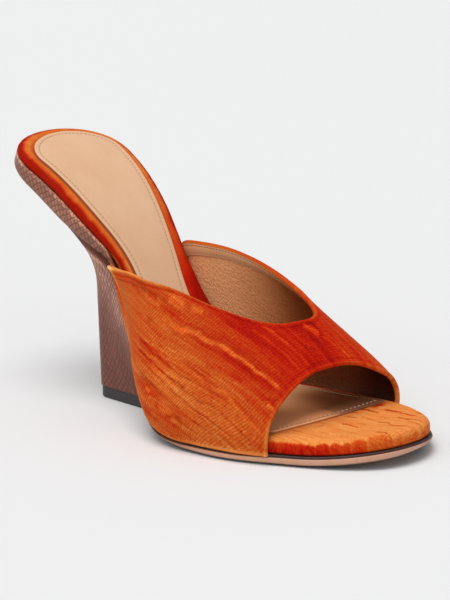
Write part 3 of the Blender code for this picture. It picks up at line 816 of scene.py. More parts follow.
def rubber(name, colour):
    m = Nodes(name)
    weave, paint = m.attribute("weave"), m.attribute("paint", "Color")
    speck = m.noise(weave, 1.6, 4.0, 0.65)
    drag = m.noise(m.stretched(weave, (0.25, 2.2, 2.2)), 1.0, 3.0)
    base = m.times(m.mix(m.range(speck, 0.3, 0.7, 0.0, 1.0), colour, tuple(1.3 * c for c in colour)), m.range(drag, 0.2, 0.8, 0.9, 1.1))
    base = m.paint(base, paint)
    return m.set(Base_Color=base, Roughness=m.range(speck, 0.3, 0.7, 0.48, 0.66), Normal=m.bump(m.math("ADD", speck, drag), 0.00005, 0.6))


def thread(name, colour):
    m = Nodes(name)
    weave = m.attribute("weave")
    ply = m.put("TexWave", {"Vector": m.stretched(weave, (1, 1, 1), 0.6), "Scale": 0.31416 / 0.28, "Distortion": 0.4}, bands_direction="X").outputs["Fac"]
    fuzz = m.noise(weave, 4.0, 2.0)
    base = m.mix(ply, tuple(0.72 * c for c in colour), colour)
    base = m.times(base, m.range(fuzz, 0.25, 0.75, 0.85, 1.12))
    return m.set(Base_Color=base, Roughness=0.55, Normal=m.bump(ply, 0.00004, 0.8))


# ------------------------------------------------------------------ upper: fabric, lining, facing
A_ROWS = 411                       # round the foot
EDGE_ROUND = 0.93                  # half the thickness of the folded edge
FOLD_IN = 1.6                      # how far the fabric is turned in over the edge
EDGE_NEAR = np.array([0.0, 0.25, 0.5, 0.75, 1.0, 1.25, 1.5, 1.75, 2.0, 2.3, 2.7, 3.2])


def strand(a, edge_in, count, fine=True):
    """Distances along the line around = a, from its topline end, and the x of each, with its ends edge_in from the edges."""
    x_dense = topline_x_at(a) + (toe_edge_x_at(a) - topline_x_at(a)) * np.linspace(0, 1, 160)
    p = upper_point(x_dense, np.full(160, a))
    run = np.concatenate([[0.0], np.cumsum(np.linalg.norm(np.diff(p, axis=0), axis=1))])
    total = run[-1]
    if fine:
        near = EDGE_NEAR + edge_in
        d = np.concatenate([near, np.linspace(near[-1], total - near[-1], count + 2)[1:-1], total - near[::-1]])
    else:
        d = np.linspace(edge_in, total - edge_in, count)
    return np.interp(d, run, x_dense), d, total


def vamp_tone(x, girth):
    """Tone of the watered velvet on the vamp, 0 deep red to 1 pale, and how far it is shaded."""
    along, across = streak_frame(x, girth)
    rib = np.floor(along / 0.85)
    jag = 0.42 * lattice(rib, np.floor(across / 6.0), 5) + 0.25 * noise(along / 2.6, across / 2.0, 6)
    q = across + 1.5 * noise(along / 26.0, across / 12.0, 1) + 0.5 * noise(along / 8.0, across / 4.0, 2) + jag * 0.55
    ahead = ease(x, 104.0, 136.0)
    # broad layout: orange over the outer side, paler in a band low down in front, red over the ridge
    lateral = 0.48 + 0.02 * ease(-girth, 44.0, 62.0) - 0.01 * bell(girth, -82.0, 7.0)
    pale = 0.15 * bell(girth, -60.0, 11.0) * ease(x, 108.0, 126.0) + 0.04 * (1 - ease(x, 92.0, 106.0))
    ridge = 0.17 + 0.35 * ease(-girth, 13.0, 52.0)
    outer = lateral + (ridge - lateral) * ahead * (1 - ease(-girth, 42.0, 56.0)) + pale
    inner = 0.18 + 0.15 * ease(girth, 2.0, 14.0) + 0.26 * ease(girth, 16.0, 44.0) + 0.10 * (1 - ahead)
    base = np.where(girth < 0, outer, inner) + 0.07 * (1 - ease(x, 98.0, 114.0)) * ease(-girth, 62.0, 72.0)
    flame = noise(along / 44.0, q / 6.0, 11) + 0.5 * noise(along / 20.0, q / 2.6, 12)
    phase = np.abs(((flame * 2.1) % 1.0) - 0.5) * 2
    lines = np.clip(1 - phase / 0.16, 0, 1)
    streak = noise(along / 38.0, q / 1.5, 13) * 0.6 + noise(along / 15.0, q / 0.9, 14) * 0.4
    inside = ease(girth, 12.0, 30.0)
    calm = 0.40 + 0.60 * inside
    tone = base + 0.13 * streak * (0.7 + 0.3 * inside) + calm * (0.08 * np.sign(flame) * np.minimum(np.abs(flame) * 3, 1) * (0.25 + 0.75 * inside) + 0.09 * lines)
    shade = 0.98 - 0.16 * ease(-girth, 10.0, 34.0) + 0.06 * ease(-girth, 48.0, 62.0) - 0.03 * bell(girth, -80.0, 12.0) * (1 - 0.6 * ease(x, 124.0, 146.0))
    # long fine veins, thin and broken, thickest low on the outer side
    field = ease(-girth, 36.0, 52.0) * (1 - 0.5 * ease(-girth, 76.0, 86.0))
    dark = np.clip(1 - np.abs(noise(along / 58.0, q / 2.3, 15)) / 0.13, 0, 1) * (0.55 + 0.45 * noise(along / 12.0, q / 3.0, 16))
    light = np.clip(1 - np.abs(noise(along / 46.0, q / 3.1, 17)) / 0.10, 0, 1) * (0.5 + 0.5 * noise(along / 9.0, q / 3.0, 18))
    patch = noise(along / 11.0, q / 3.6, 19)
    patch = np.sign(patch) * ease(np.abs(patch), 0.08, 0.34)
    shade = shade - 0.27 * dark * (0.25 + 0.75 * field)
    tone = tone - 0.06 * dark + 0.13 * light * (0.45 + 0.55 * field) + 0.055 * patch * (0.35 + 0.65 * ease(-girth, 30.0, 50.0))
    lit = np.maximum(patch, 0) * (1 - ease(x, 114.0, 132.0)) * ease(-girth, 30.0, 44.0)
    tone, shade = tone + 0.03 * lit, shade + 0.07 * lit
    cloud = noise(along / 17.0, q / 4.6, 24)
    cloud = np.sign(cloud) * ease(np.abs(cloud), 0.04, 0.22)
    tone = tone + 0.025 * cloud * ease(-girth, 22.0, 44.0)
    px, py = x + 0.3 * jag, girth + 0.45 * jag
    strokes = [(row[6], row[7], spline3(*row[:6])) for row in VAMP_LINES] + [(s, w, np.array(pts)) for s, w, pts in VAMP_VEINS]
    for strength, wide, line in strokes:
        reach = 3.0 * wide + 1.5
        lo, hi = line.min(axis=0) - reach, line.max(axis=0) + reach
        near = (px > lo[0]) & (px < hi[0]) & (py > lo[1]) & (py < hi[1])
        if not near.any():
            continue
        fine = 0.40 if strength > 0 else 0.16
        wander = 0.55 * noise(along[near] / 5.5, across[near] / 9.0, 22) + fine * noise(along[near] / 1.9, across[near] / 4.0, 23)
        r, w = line_mask(px[near], py[near] + wander, line)
        ends = ease(w, 0.0, 0.10) * (1 - ease(w, 0.90, 1.0))
        uneven = 0.80 + 0.45 * noise(along[near] / 2.6, across[near] / 3.0, 21)
        mark = np.exp(-((r / wide) ** 2)) * ends * uneven
        if strength < 0 and line[0, 1] < -50.0:
            # a crease of the nap: browner and darker, with a lighter ridge above it
            shade[near] += 0.85 * strength * mark
            tone[near] += 0.60 * strength * mark
            above, _ = line_mask(px[near], py[near] + wander - 1.25, line)
            tone[near] -= 0.42 * strength * np.exp(-((above / 0.55) ** 2)) * ends * uneven
        elif strength < 0:
            tone[near] += 0.95 * strength * mark
        else:
            # a light vein: never paler than orange, brighter instead, with deeper red on both sides of a strong one
            tone[near] += np.minimum(0.95 * strength * mark, np.maximum(0.54 - tone[near], 0.0))
            shade[near] += 0.75 * strength * mark
            if strength > 0.22:
                hem = np.exp(-(((r - 2.3 * wide) / (1.1 * wide)) ** 2)) * ends * (0.55 + 0.6 * noise(along[near] / 6.0, across[near] / 5.0, 25))
                tone[near] -= 0.24 * strength * hem
                shade[near] -= 0.22 * strength * hem
    tone = np.where(tone > 0.54, 0.54 + 0.40 * (tone - 0.54), tone)
    return np.maximum(tone, 0.06), np.maximum(shade, 0.45)


def build_upper():
    a = np.linspace(0.0, 1.0, A_ROWS)
    count_mid, n_edge = 170, 7
    phi = np.linspace(0, math.pi, n_edge + 2)[1:-1]
    inner_near = EDGE_ROUND + np.array([0.0, 0.25, 0.45, 0.6, 0.72, 0.85, 1.1])
    verts, tones, shades, weave = [], [], [], []
    for ai in a:
        x, d, total = strand(ai, EDGE_ROUND, count_mid)
        aa = np.full(len(x), ai)
        p, n = upper_point(x, aa), upper_normal(x, aa)
        g = girth_at(x, aa)
        along, across = streak_frame(x, g)
        from_edge = np.minimum(d, total - d)
        at_top = (1 - ease(d, 4.0, 6.0)) * (1 - 0.75 * ease(x, 112.0, 136.0))
        sole_d = np.abs(girth_at(x, np.full(len(x), 0.0 if ai < 0.5 else 1.0)) - g)
        # rolled edge, the sewn trough beside it, soft hollows, and the turn under the sole
        lift = 0.10 * (1 - ease(from_edge, 1.1, 2.1)) - (0.06 + 0.12 * at_top) * bell(from_edge, 2.7, 0.45)
        lift = lift + 0.10 * noise(x / 17.0, g / 15.0, 31) + 0.05 * noise(x / 7.0, g / 6.0, 32)
        lift = lift + 0.03 * noise(along / 22.0, across / 1.6, 13)
        lift = lift - 0.55 * np.exp(-((sole_d / 1.1) ** 2))
        outer = p + n * lift[:, None]
        outer[:, 2] -= 1.15 * np.exp(-((sole_d / 5.0) ** 2))

        def round_edge(k, step):
            t = outer[k + step] - outer[k]
            t = t / np.linalg.norm(t)
            return outer[k] - n[k] * EDGE_ROUND + EDGE_ROUND * (np.cos(phi)[:, None] * n[k] - np.sin(phi)[:, None] * t)

        front, rear = round_edge(len(x) - 1, -1), round_edge(0, 1)
        di = np.concatenate([inner_near, np.linspace(inner_near[-1], total - inner_near[-1], 12)[1:-1], total - inner_near[::-1]])
        xi = np.interp(di, d, x)
        ai_ = np.full(len(xi), ai)
        turned = 1 - ease(np.minimum(di, total - di), FOLD_IN - 0.12, FOLD_IN + 0.2)
        inner = upper_point(xi, ai_) - upper_normal(xi, ai_) * (FABRIC_THICK + (2 * EDGE_ROUND - FABRIC_THICK) * turned)[:, None]
        ring = np.concatenate([outer, front, inner[::-1], rear[::-1]])
        verts.append(ring)
        tone, shade = vamp_tone(x, g)
        # painted highlight along the turned edges where the velvet's sheen shows, painted shade in the sewn trough
        # beside them, redder along the inner side of the topline, and a painted golden sheen where the fabric turns
        # under
        far = ease(g, 18.0, 36.0) * (1 - ease(d, 1.5, 4.0))
        tone = tone + 0.15 * (1 - ease(from_edge, 0.9, 1.5)) * (1 - far) - (0.06 + 0.12 * at_top) * bell(from_edge, 2.7, 0.5)
        tone = tone + (0.47 - tone) * far
        shade = shade * (1 - 0.10 * far)
        rear = 1 - ease(x, 98.0, 128.0)
        # painted sheen: a golden band low on the outer side, where the surface turns away under the sole
        painted_golden_sheen = np.exp(-(((sole_d - 0.9) / (1.35 + 1.0 * rear)) ** 2)) * (g < 0)
        tone = tone + (0.20 + 0.16 * rear) * painted_golden_sheen
        shade = shade + (1.02 - shade) * painted_golden_sheen
        shades.append(np.concatenate([shade, np.full(n_edge, 0.95), np.full(len(di), 0.95), np.full(n_edge, 0.95 - 0.08 * far[0])]))
        tones.append(np.concatenate([tone, np.full(n_edge, tone[-1] - 0.04), np.full(len(di), 0.42 + 0.30 * far[0]), np.full(n_edge, tone[0] + 0.10 * (1 - ease(x[0], 80.0, 104.0)) - 0.02)]))
        w = np.zeros((len(ring), 3))
        w[: len(x), 0], w[: len(x), 1] = along, across
        w[: len(x), 2] = ease(from_edge, 0.6, 1.6) * ease(sole_d, 0.8, 2.4) * (0.45 + 0.55 * ease(x, 84.0, 108.0))
        w[len(x) :, 0], w[len(x) :, 1] = along[-1], across[-1]
        w[len(x) : len(x) + n_edge, 0] += np.linspace(0.2, 2.4, n_edge)
        k = len(x) + n_edge
        w[k : k + len(di), 0], w[k : k + len(di), 1] = np.interp(di, d, along)[::-1], np.interp(di, d, across)[::-1]
        w[-n_edge:, 0], w[-n_edge:, 1] = along[0], across[0] - np.linspace(0.2, 2.4, n_edge)[::-1]
        weave.append(w)
    n_out, n_in = len(x), len(di)
    ring_len = n_out + n_in + 2 * n_edge
    faces = loft_faces(len(a), ring_len).tolist()
    for row in (0, len(a) - 1):
        base = row * ring_len
        left = [base + i for i in range(n_out)]
        right = [base + ring_len - 1 - i for i in range(n_edge)]
        right += [base + n_out + n_edge + n_in - 1 - i for i in range(n_in)]
        right += [base + n_out + n_edge - 1 - i for i in range(n_edge)]
        faces += zip_faces(left, right)
    return new_object("upper_velvet", np.concatenate(verts), faces, velvet("watered velvet"),
                      attributes={"tone": np.concatenate(tones), "shade": np.concatenate(shades), "weave": np.concatenate(weave)})


def lining_shade(x, girth, d_top):
    """Painted shade on the lining: lighter at the open back, deeper and redder towards the toe where the vamp shades
    it, and a painted shadow line under the facing.
    """
    deep, toe = ease(x, 82.0, 126.0), ease(x, 134.0, 152.0)
    v = (1.33 - 0.90 * deep) * (1 - 0.70 * toe) - 0.16 * bell(d_top, FOLD_IN + FACING_WIDE + 0.6, 0.9) * (1 - toe)
    front = ease(x, 98.0, 126.0)[:, None]
    v = v[:, None] * (1.0 - deep[:, None] * np.array([0.0, 0.22, 0.44])) * (1.0 - front * np.array([0.34, 0.56, 0.70]))
    return v * (1.0 - toe[:, None] * np.array([0.10, 0.50, 0.70]))


def build_lining():
    a = np.linspace(0.004, 0.996, 181)
    inset, out_depth, in_depth = FOLD_IN - 0.1, FABRIC_THICK + 0.02, UPPER_THICK
    count, n_out = 96, 40
    verts, weave, paint = [], [], []
    for ai in a:
        x, d, total = strand(ai, inset, count, fine=False)
        aa = np.full(len(x), ai)
        p, n, g = upper_point(x, aa), upper_normal(x, aa), girth_at(x, aa)
        sink = 0.07 * noise(x / 11.0, g / 9.0, 41) + 0.04 * noise(x / 4.5, g / 4.0, 42)
        inner = p - n * (in_depth + sink)[:, None]
        xo, _, _ = strand(ai, inset, n_out, fine=False)
        ao = np.full(len(xo), ai)
        outer = upper_point(xo, ao) - upper_normal(xo, ao) * out_depth
        verts.append(np.concatenate([inner, outer[::-1]]))
        w = np.zeros((count + n_out, 3))
        w[:count, 0], w[:count, 1] = x, g
        w[count:, 0], w[count:, 1] = x[-1], g[-1]
        weave.append(w)
        c = np.ones((count + n_out, 4))
        c[:count, :3] = lining_shade(x, g, d)
        paint.append(c)
    ring = count + n_out
    faces = loft_faces(len(a), ring).tolist()
    for row in (0, len(a) - 1):
        base = row * ring
        faces += zip_faces([base + i for i in range(count)], [base + ring - 1 - i for i in range(n_out)])
    mat = pebbled_leather("pebbled lining", tuple(linear(226, 169, 120)), tuple(linear(215, 156, 107)))
    return new_object("lining", np.concatenate(verts), faces, mat, smooth_angle=60,
                      attributes={"weave": np.concatenate(weave), "paint": np.concatenate(paint)})


def inside_point(a, d, depth):
    """Point inside the upper, d from the topline edge along the line around = a."""
    x_dense = topline_x_at(a) + (toe_edge_x_at(a) - topline_x_at(a)) * np.linspace(0, 1, 160)
    p = upper_point(x_dense, np.full(160, a))
    run = np.concatenate([[0.0], np.cumsum(np.linalg.norm(np.diff(p, axis=0), axis=1))])
    x = np.interp(d, run, x_dense)
    aa = np.full(len(x), a)
    return upper_point(x, aa) - upper_normal(x, aa) * np.asarray(depth)[:, None], x, aa


def build_facing():
    """Smooth leather band inside the topline, with a soft rounded lower edge."""
    a = np.linspace(0.012, 0.988, 261)
    verts, weave, paint = [], [], []
    for ai in a:
        wide = FACING_WIDE - 1.6 * bell(ai, 0.5, 0.10)
        run = np.concatenate([[0.0, 0.15], np.linspace(0.35, wide - 0.9, 12), [wide - 0.55, wide - 0.25, wide]])
        swell = np.concatenate([[-0.02, 0.08], 0.14 + 0.14 * np.sin(np.linspace(0, math.pi, 12)), [0.25, 0.15, -0.05]])
        sewn = bell(run, 0.75, 0.28)
        d = run + FOLD_IN - 0.1
        face, x, aa = inside_point(ai, d, UPPER_THICK + swell - 0.10 * sewn)
        back, _, _ = inside_point(ai, d, np.full(len(d), UPPER_THICK - 0.25))
        verts.append(np.concatenate([face, back[::-1]]))
        g = girth_at(x, aa)
        w = np.zeros((2 * len(d), 3))
        w[: len(d), 0], w[: len(d), 1] = x, g
        w[len(d) :, 0], w[len(d) :, 1] = x[::-1], g[::-1]
        weave.append(w)
        c = np.ones((2 * len(d), 4))
        # painted shade: darker towards the toe, in the sewn groove, and towards the band's lower edge
        deep = ease(x, 88.0, 132.0)
        shade = (1.0 - 0.50 * deep) * (1 - 0.22 * sewn) * (1 - 0.24 * ease(run / wide, 0.35, 1.0))
        c[: len(d), :3] = shade[:, None] * (1.0 - deep[:, None] * np.array([0.0, 0.22, 0.40]))
        paint.append(c)
    ring = verts[0].shape[0]
    faces = loft_faces(len(a), ring).tolist()
    for row in (0, len(a) - 1):
        base = row * ring
        faces += zip_faces([base + i for i in range(ring // 2)], [base + ring - 1 - i for i in range(ring // 2)])
    mat = smooth_leather("facing leather", tuple(linear(230, 180, 136)), tuple(linear(218, 164, 120)), grain=0.03)
    return new_object("topline_facing", np.concatenate(verts), faces, mat, smooth_angle=70,
                      attributes={"weave": np.concatenate(weave), "paint": np.concatenate(paint)})


# ------------------------------------------------------------------ stitches
def stitch_row(name, path, normals, pitch, length, radius, material, closed=False, sink=0.35):
    """A row of short thread stitches along a path, each a small bent capsule."""
    path = np.asarray(path, float)
    if closed:
        path = np.concatenate([path, path[:1]])
        normals = np.concatenate([normals, normals[:1]])
    run = np.concatenate([[0.0], np.cumsum(np.linalg.norm(np.diff(path, axis=0), axis=1))])
    count = int(run[-1] / pitch)
    pitch = run[-1] / count
    verts, faces, weave = [], [], []
    rings, sides = 6, 6
    for k in range(count):
        mid = (k + 0.5) * pitch
        t = np.linspace(-0.5, 0.5, rings)
        at = mid + t * length
        p = np.stack([np.interp(at, run, path[:, i]) for i in range(3)], axis=1)
        n = np.stack([np.interp(at, run, normals[:, i]) for i in range(3)], axis=1)
        n /= np.linalg.norm(n, axis=1)[:, None]
        along = np.gradient(p, axis=0)
        along /= np.linalg.norm(along, axis=1)[:, None]
        cross = np.cross(n, along)
        arch = (1 - (2 * t) ** 4) * radius * (1 - sink) - radius * 0.9 * (2 * np.abs(t)) ** 6
        r = radius * np.clip(1.12 - np.abs(2 * t) ** 5, 0.35, 1.0)
        base = len(verts)
        for i in range(rings):
            for j in range(sides):
                phi = 2 * math.pi * j / sides
                verts.append(p[i] + n[i] * (arch[i] + r[i] * math.cos(phi) * 0.8) + cross[i] * r[i] * math.sin(phi))
                weave.append((at[i], radius * phi, 0.0))
        for i in range(rings - 1):
            for j in range(sides):
                q = (j + 1) % sides
                faces.append((base + i * sides + j, base + i * sides + q, base + (i + 1) * sides + q, base + (i + 1) * sides + j))
        faces.append(tuple(base + j for j in range(sides))[::-1])
        faces.append(tuple(base + (rings - 1) * sides + j for j in range(sides)))
    return new_object(name, verts, faces, material, attributes={"weave": weave})


# ------------------------------------------------------------------ footbed and sock
def sock_inset(base):
    """How far the sock's edge lies in from the footbed's outline."""
    extra = monotone(column(SOCK_WAIST, 0), column(SOCK_WAIST, 1))(base[:, 0]) * (base[:, 1] > 0)
    extra = extra - SOCK_LESS_WAIST * np.exp(-(((base[:, 0] - 84.0) / 22.0) ** 2)) * (base[:, 1] < 0)
    return SOCK_INSET + extra + SOCK_EXTRA_HEEL * (1 - ease(base[:, 0], 0.0, 22.0))


def toe_blocks(run):
    """Gathers of the cover down the toe's side: how much red shows there, how high it comes, and the folds between."""
    red, high, fold = np.zeros_like(run), np.zeros_like(run), np.zeros_like(run)
    for lo, hi, top, share in TOE_GATHERS:
        t = np.clip((run - lo) / (hi - lo), 0, 1)
        in_block = (run > lo) & (run < hi)
        round_top = np.clip(4 * t * (1 - t), 0, 1) ** (0.22 if hi - lo > 20 else 0.42)
        red = np.where(in_block, share, red)
        high = np.where(in_block, top - 1.5 * (1 - round_top), high)
        fold = np.maximum(fold, bell(run, hi, 0.45) * (hi < 268.0))
    return red, high, fold


def footbed_tone(s, y, up, run, inset, edge):
    """Tone of the velvet on the footbed: pale on top at the toe, redder down its side; and its painted shade."""
    rib = np.floor(s / 0.85)
    jag = 0.35 * lattice(rib, np.floor(y / 6.0), 55) + 0.25 * noise(s / 2.2, y / 2.0, 56)
    q = y + 1.2 * noise(s / 18.0, y / 10.0, 51) + 0.5 * jag
    streak = noise(s / 14.0, q / 1.3, 52) * 0.6 + noise(s / 6.0, q / 0.8, 53) * 0.4
    # round the heel and waist: a painted highlight on the bead by the sock, painted shade in the deep red groove by
    # the rim, with puckers
    pucker = 0.5 * noise(run / 2.3, run * 0.0, 61) + 0.5 * noise(run / 5.0, run * 0.0 + 3, 62)
    share = inset / edge + 0.10 * pucker
    bead = ease(share, 0.26, 0.52)
    band = 0.21 + 0.31 * bead + 0.12 * bell(share, 0.72, 0.18) - 0.06 * ease(share, 0.90, 1.0) + 0.05 * pucker * bead
    medial = (y > axis_at(s)) * ease(s, 36.0, 104.0)
    band = band + (0.26 - 0.19 * ease(s, 76.0, 94.0) - band) * medial * (1 - 0.35 * bell(share, 0.95, 0.12))
    # toe: pale top, darker back towards the sock under a painted shadow of the vamp, red gathers down the outer side
    red, high, fold = toe_blocks(run)
    side = red * (1 - ease(up - 0.5 * jag, high - 0.9, high + 0.2))
    low = 0.20 + 0.10 * ease(up, 1.5, 4.2) + 0.14 * ease(run, 243.0, 262.0) + 0.10 * noise(run / 0.7 + up * 0.5, up / 5.0, 59)
    toe_top = 0.76 - 0.16 * ease(-(s - 203.0), 0.0, 14.0) - 0.14 * (1 - ease(up, 2.2, 4.8)) * (1 - red)
    # fine wavy lines round the front, below the top
    wavy = np.clip(1 - np.abs(noise(run / 5.0 + up * 0.5, up / 0.75, 57)) / 0.22, 0, 1) * ease(run, 258.0, 270.0) * (1 - ease(up, 4.6, 6.0))
    toe_top = toe_top - 0.16 * wavy
    toe_part = toe_top + (low - toe_top) * side + 0.07 * fold * (1 - ease(up, 4.6, 5.4))
    toe = ease(s, 150.0, 186.0)
    tone = band + (toe_part - band) * toe + 0.06 * streak * (0.35 + 0.65 * toe)
    # painted shadow of the vamp over the toe up to just in front of the sock, and painted shade in the groove by the
    # rim
    shade = 1.0 - 0.16 * toe * (1 - ease(s, SOCK_FRONT_S + 1.0, SOCK_FRONT_S + 9.0))
    shade = shade - 0.32 * (1 - bead) * (1 - toe) * (1 - medial)
    for s0, y0, s1, y1, strength, wide in TOE_LINES:
        reach = 3 * wide + 1
        near = (s > min(s0, s1) - reach) & (s < max(s0, s1) + reach) & (np.abs(y - (y0 + y1) / 2) < reach + abs(y1 - y0)) & (up > 3.0)
        if near.any():
            r, w = line_mask(s[near] + 0.5 * jag[near], y[near] + 0.5 * jag[near], [(s0, y0), (s1, y1)])
            ends = 0.35 + 0.65 * ease(w, 0.0, 0.15) * (1 - ease(w, 0.8, 1.0))
            mark = np.exp(-((r / (0.75 * wide)) ** 2)) * ends
            tone[near] += 1.15 * strength * mark
            shade[near] += 0.65 * strength * mark
    return tone, np.maximum(shade, 0.4)


def build_footbed():
    base = outline(400)
    s0 = base[:, 0]
    covered = 1 - ease(s0, *BARE_FROM_S)
    nip = FOOTBED_NIP * np.exp(-(((s0 - 73.0) / 9.0) ** 2))
    run = np.concatenate([[0.0], np.cumsum(np.linalg.norm(np.diff(base, axis=0), axis=1))])
    edge = sock_inset(base)
    padded = 0.50 * (1 - ease(s0, 150.0, 186.0))
    bare, in_rim, up = (column(FOOTBED_EDGE, k) for k in range(3))
    key = np.concatenate([[0.0], np.cumsum(np.hypot(np.diff(bare + in_rim) / 2, np.diff(up)))])
    fine = np.linspace(0, key[-1], 33)
    bare_f, rim_f, up_f = (monotone(key, c)(fine) for c in (bare, in_rim, up))
    pucker = noise(run / 2.3, run * 0.0, 61) * 0.5 + noise(run / 5.0, run * 0.0 + 3, 62) * 0.5
    _, _, fold = toe_blocks(run)

    def raised(inset):
        """The padding's bead beside the sock."""
        share = inset / edge
        return padded * np.exp(-(((share - 0.62) / 0.26) ** 2)) * (1 + 0.30 * pucker)

    stack = []
    for b, r, u in zip(bare_f, rim_f, up_f):
        shape = math.sin(math.pi * min(max((u - 1.5) / 4.8, 0.0), 1.0))
        give = 0.16 * pucker * shape * (0.4 + 0.6 * covered) - 0.30 * fold * shape
        inset = b + (r - b) * covered + nip
        stack.append((grown(base, -inset + give), np.full(len(base), u) + raised(inset)))
    for loop in skeleton(stack[-1][0], 46, 34.0, 196.0, 0.9)[1:]:
        inset = np.hypot(*(loop - base).T)
        wave = 0.05 * noise(loop[:, 0] / 9.0, loop[:, 1] / 8.0, 63)
        stack.append((loop, up_f[-1] + wave - 0.02 * (1 - ease(loop[:, 0], 196.0, 199.0)) + raised(inset)))
    for loop in skeleton(stack[0][0], 3, 34.0, 196.0)[1:]:
        stack.insert(0, (loop, np.zeros(len(loop))))
    flat, height = np.concatenate([l for l, _ in stack]), np.concatenate([n for _, n in stack])
    verts = on_last(flat, height)
    rows = len(stack)
    inset = np.hypot(*(flat - np.tile(base, (rows, 1))).T)
    tone, shade = footbed_tone(flat[:, 0], flat[:, 1], height, np.tile(run, rows), inset, np.tile(edge, rows))
    outward = np.where(flat[:, 1] < axis_at(flat[:, 0]), 1, -1)
    weave = np.stack([flat[:, 0], flat[:, 1] + outward * (height - FOOTBED_THICK) * 0.8, 0.22 + 0.35 * ease(flat[:, 0], 186.0, 200.0)], axis=1)
    return new_object("footbed_velvet", verts, loft_faces(rows, len(base)).tolist(), velvet("footbed velvet", rib=0.8, rib_depth=0.07),
                      attributes={"tone": tone, "shade": shade, "weave": weave})


stitch_leaves = monotone(column(STITCH_LEAVES, 0), column(STITCH_LEAVES, 1))


def sock_loop(inset, count=220, front_points=61, with_row=1.0):
    base = outline(count)
    leaves = stitch_leaves(base[:, 0]) * (base[:, 1] > axis_at(base[:, 0])) * ease(inset, 0.9, 1.5) * with_row
    loop = grown(base, -(sock_inset(base) + inset + leaves))
    front = SOCK_FRONT_S - inset
    half = len(loop) // 2
    keep = int(np.searchsorted(base[: half + 1, 0], SOCK_FRONT_S - 2.5))
    lat, med = loop[:keep], loop[len(loop) - keep + 1 :]
    y_lat = np.interp(front, loop[: half + 1, 0], loop[: half + 1, 1])
    y_med = np.interp(front, loop[half:, 0][::-1], loop[half:, 1][::-1])
    across = np.linspace(0.0, 1.0, front_points)
    bow = front - 1.2 * (2 * across - 1) ** 2
    front_row = np.stack([bow, y_lat + (y_med - y_lat) * across], axis=1)
    return np.concatenate([lat, front_row, med])


def sock_dip(s):
    """The sock is pared thin towards its front edge."""
    return 0.55 * ease(s, 160.0, 184.0)


def build_sock():
    low = FOOTBED_THICK - 0.02
    top = FOOTBED_THICK + GAP + SOCK_THICK
    profile = ((0.0, low), (0.0, low + 0.35), (0.02, top - 0.38), (0.12, top - 0.16), (0.30, top - 0.05), (0.62, top), (0.9, top + 0.02), (1.5, top + 0.02),
               (1.75, top - 0.05), (2.0, top - 0.12), (2.25, top - 0.05), (2.6, top + 0.03), (3.4, top + 0.06))
    rings, flats, shade = [], [], []
    for inset, n in profile:
        loop = sock_loop(inset)
        rings.append(on_last(loop, n - sock_dip(loop[:, 0]) * (n - low) / (top - low)))
        flats.append(loop)
        # the cut side is painted dark, partly the leather's edge colour and partly painted shade of the gap beside the
        # footbed; a painted shade dip in the stitch groove
        tint = (0.40, 0.27, 0.20) if n < top - 0.3 else (0.66, 0.55, 0.47) if inset < 0.1 else (1.0 - 0.10 * math.exp(-(((inset - STITCH_IN) / 0.3) ** 2)),) * 3
        # painted shade in the groove under the front stitch row
        trough = np.zeros(len(loop))
        trough[(len(loop) - 60) // 2 : (len(loop) - 60) // 2 + 61] = 0.42 * math.exp(-(((inset - STITCH_IN) / 0.55) ** 2))
        shade.append(np.full((len(loop), 3), tint) * (1 - trough)[:, None])
    for loop in skeleton(flats[-1], 24, 34.0, 168.0)[1:]:
        crown = 0.06 + 0.05 * noise(loop[:, 0] / 30.0, loop[:, 1] / 22.0, 71) + 0.03 * noise(loop[:, 0] / 8.0, loop[:, 1] / 7.0, 72)
        rings.append(on_last(loop, top + crown - sock_dip(loop[:, 0])))
        flats.append(loop)
        shade.append(np.ones((len(loop), 3)))
    bottom = skeleton(flats[0], 3, 34.0, 168.0)[1:][::-1]
    rings = [on_last(loop, np.full(len(loop), low)) for loop in bottom] + rings
    flats = list(bottom) + flats
    # painted shade on the hidden underside
    shade = [np.full((len(bottom[0]), 3), 0.30)] * len(bottom) + shade
    flat = np.concatenate(flats)
    paint = np.ones((len(flat), 4))
    paint[:, :3] = np.concatenate(shade)
    # painted shade, warmer, under the vamp; in the toe painted light to the left of the opening and painted shade
    # towards its medial side
    under = ease(flat[:, 0], 96.0, 150.0)[:, None]
    paint[:, :3] *= np.array([0.97, 0.97, 0.97]) - under * np.array([0.05, 0.14, 0.28])
    paint[:, :3] *= 1.0 - ease(flat[:, 0], 150.0, 182.0)[:, None] * np.array([-0.28, 0.00, 0.14])
    paint[:, :3] *= 1.0 - (ease(flat[:, 0], 150.0, 176.0) * ease(flat[:, 1], -2.0, 20.0))[:, None] * np.array([0.80, 0.87, 0.92])
    # the front cut edge: the leather's dark edge colour, with painted shade deepening towards the medial side
    cut = (paint[:, 0] < 0.7) & (flat[:, 0] > 186.0) & (flat[:, 1] < 36.0)
    paint[cut, :3] = np.array([0.56, 0.34, 0.22]) * (1 - 0.55 * ease(flat[cut, 1], 2.0, 20.0))[:, None]
    weave = np.concatenate([flat, np.zeros((len(flat), 1))], axis=1)
    mat = smooth_leather("sock leather", tuple(linear(236, 190, 152)), tuple(linear(228, 180, 140)), rough=(0.42, 0.55), grain=0.03, grain_scale=2.4)
    return new_object("sock_leather", np.concatenate(rings), loft_faces(len(flats), len(flats[0])).tolist(), mat, smooth_angle=70,
                      attributes={"weave": weave, "paint": paint})


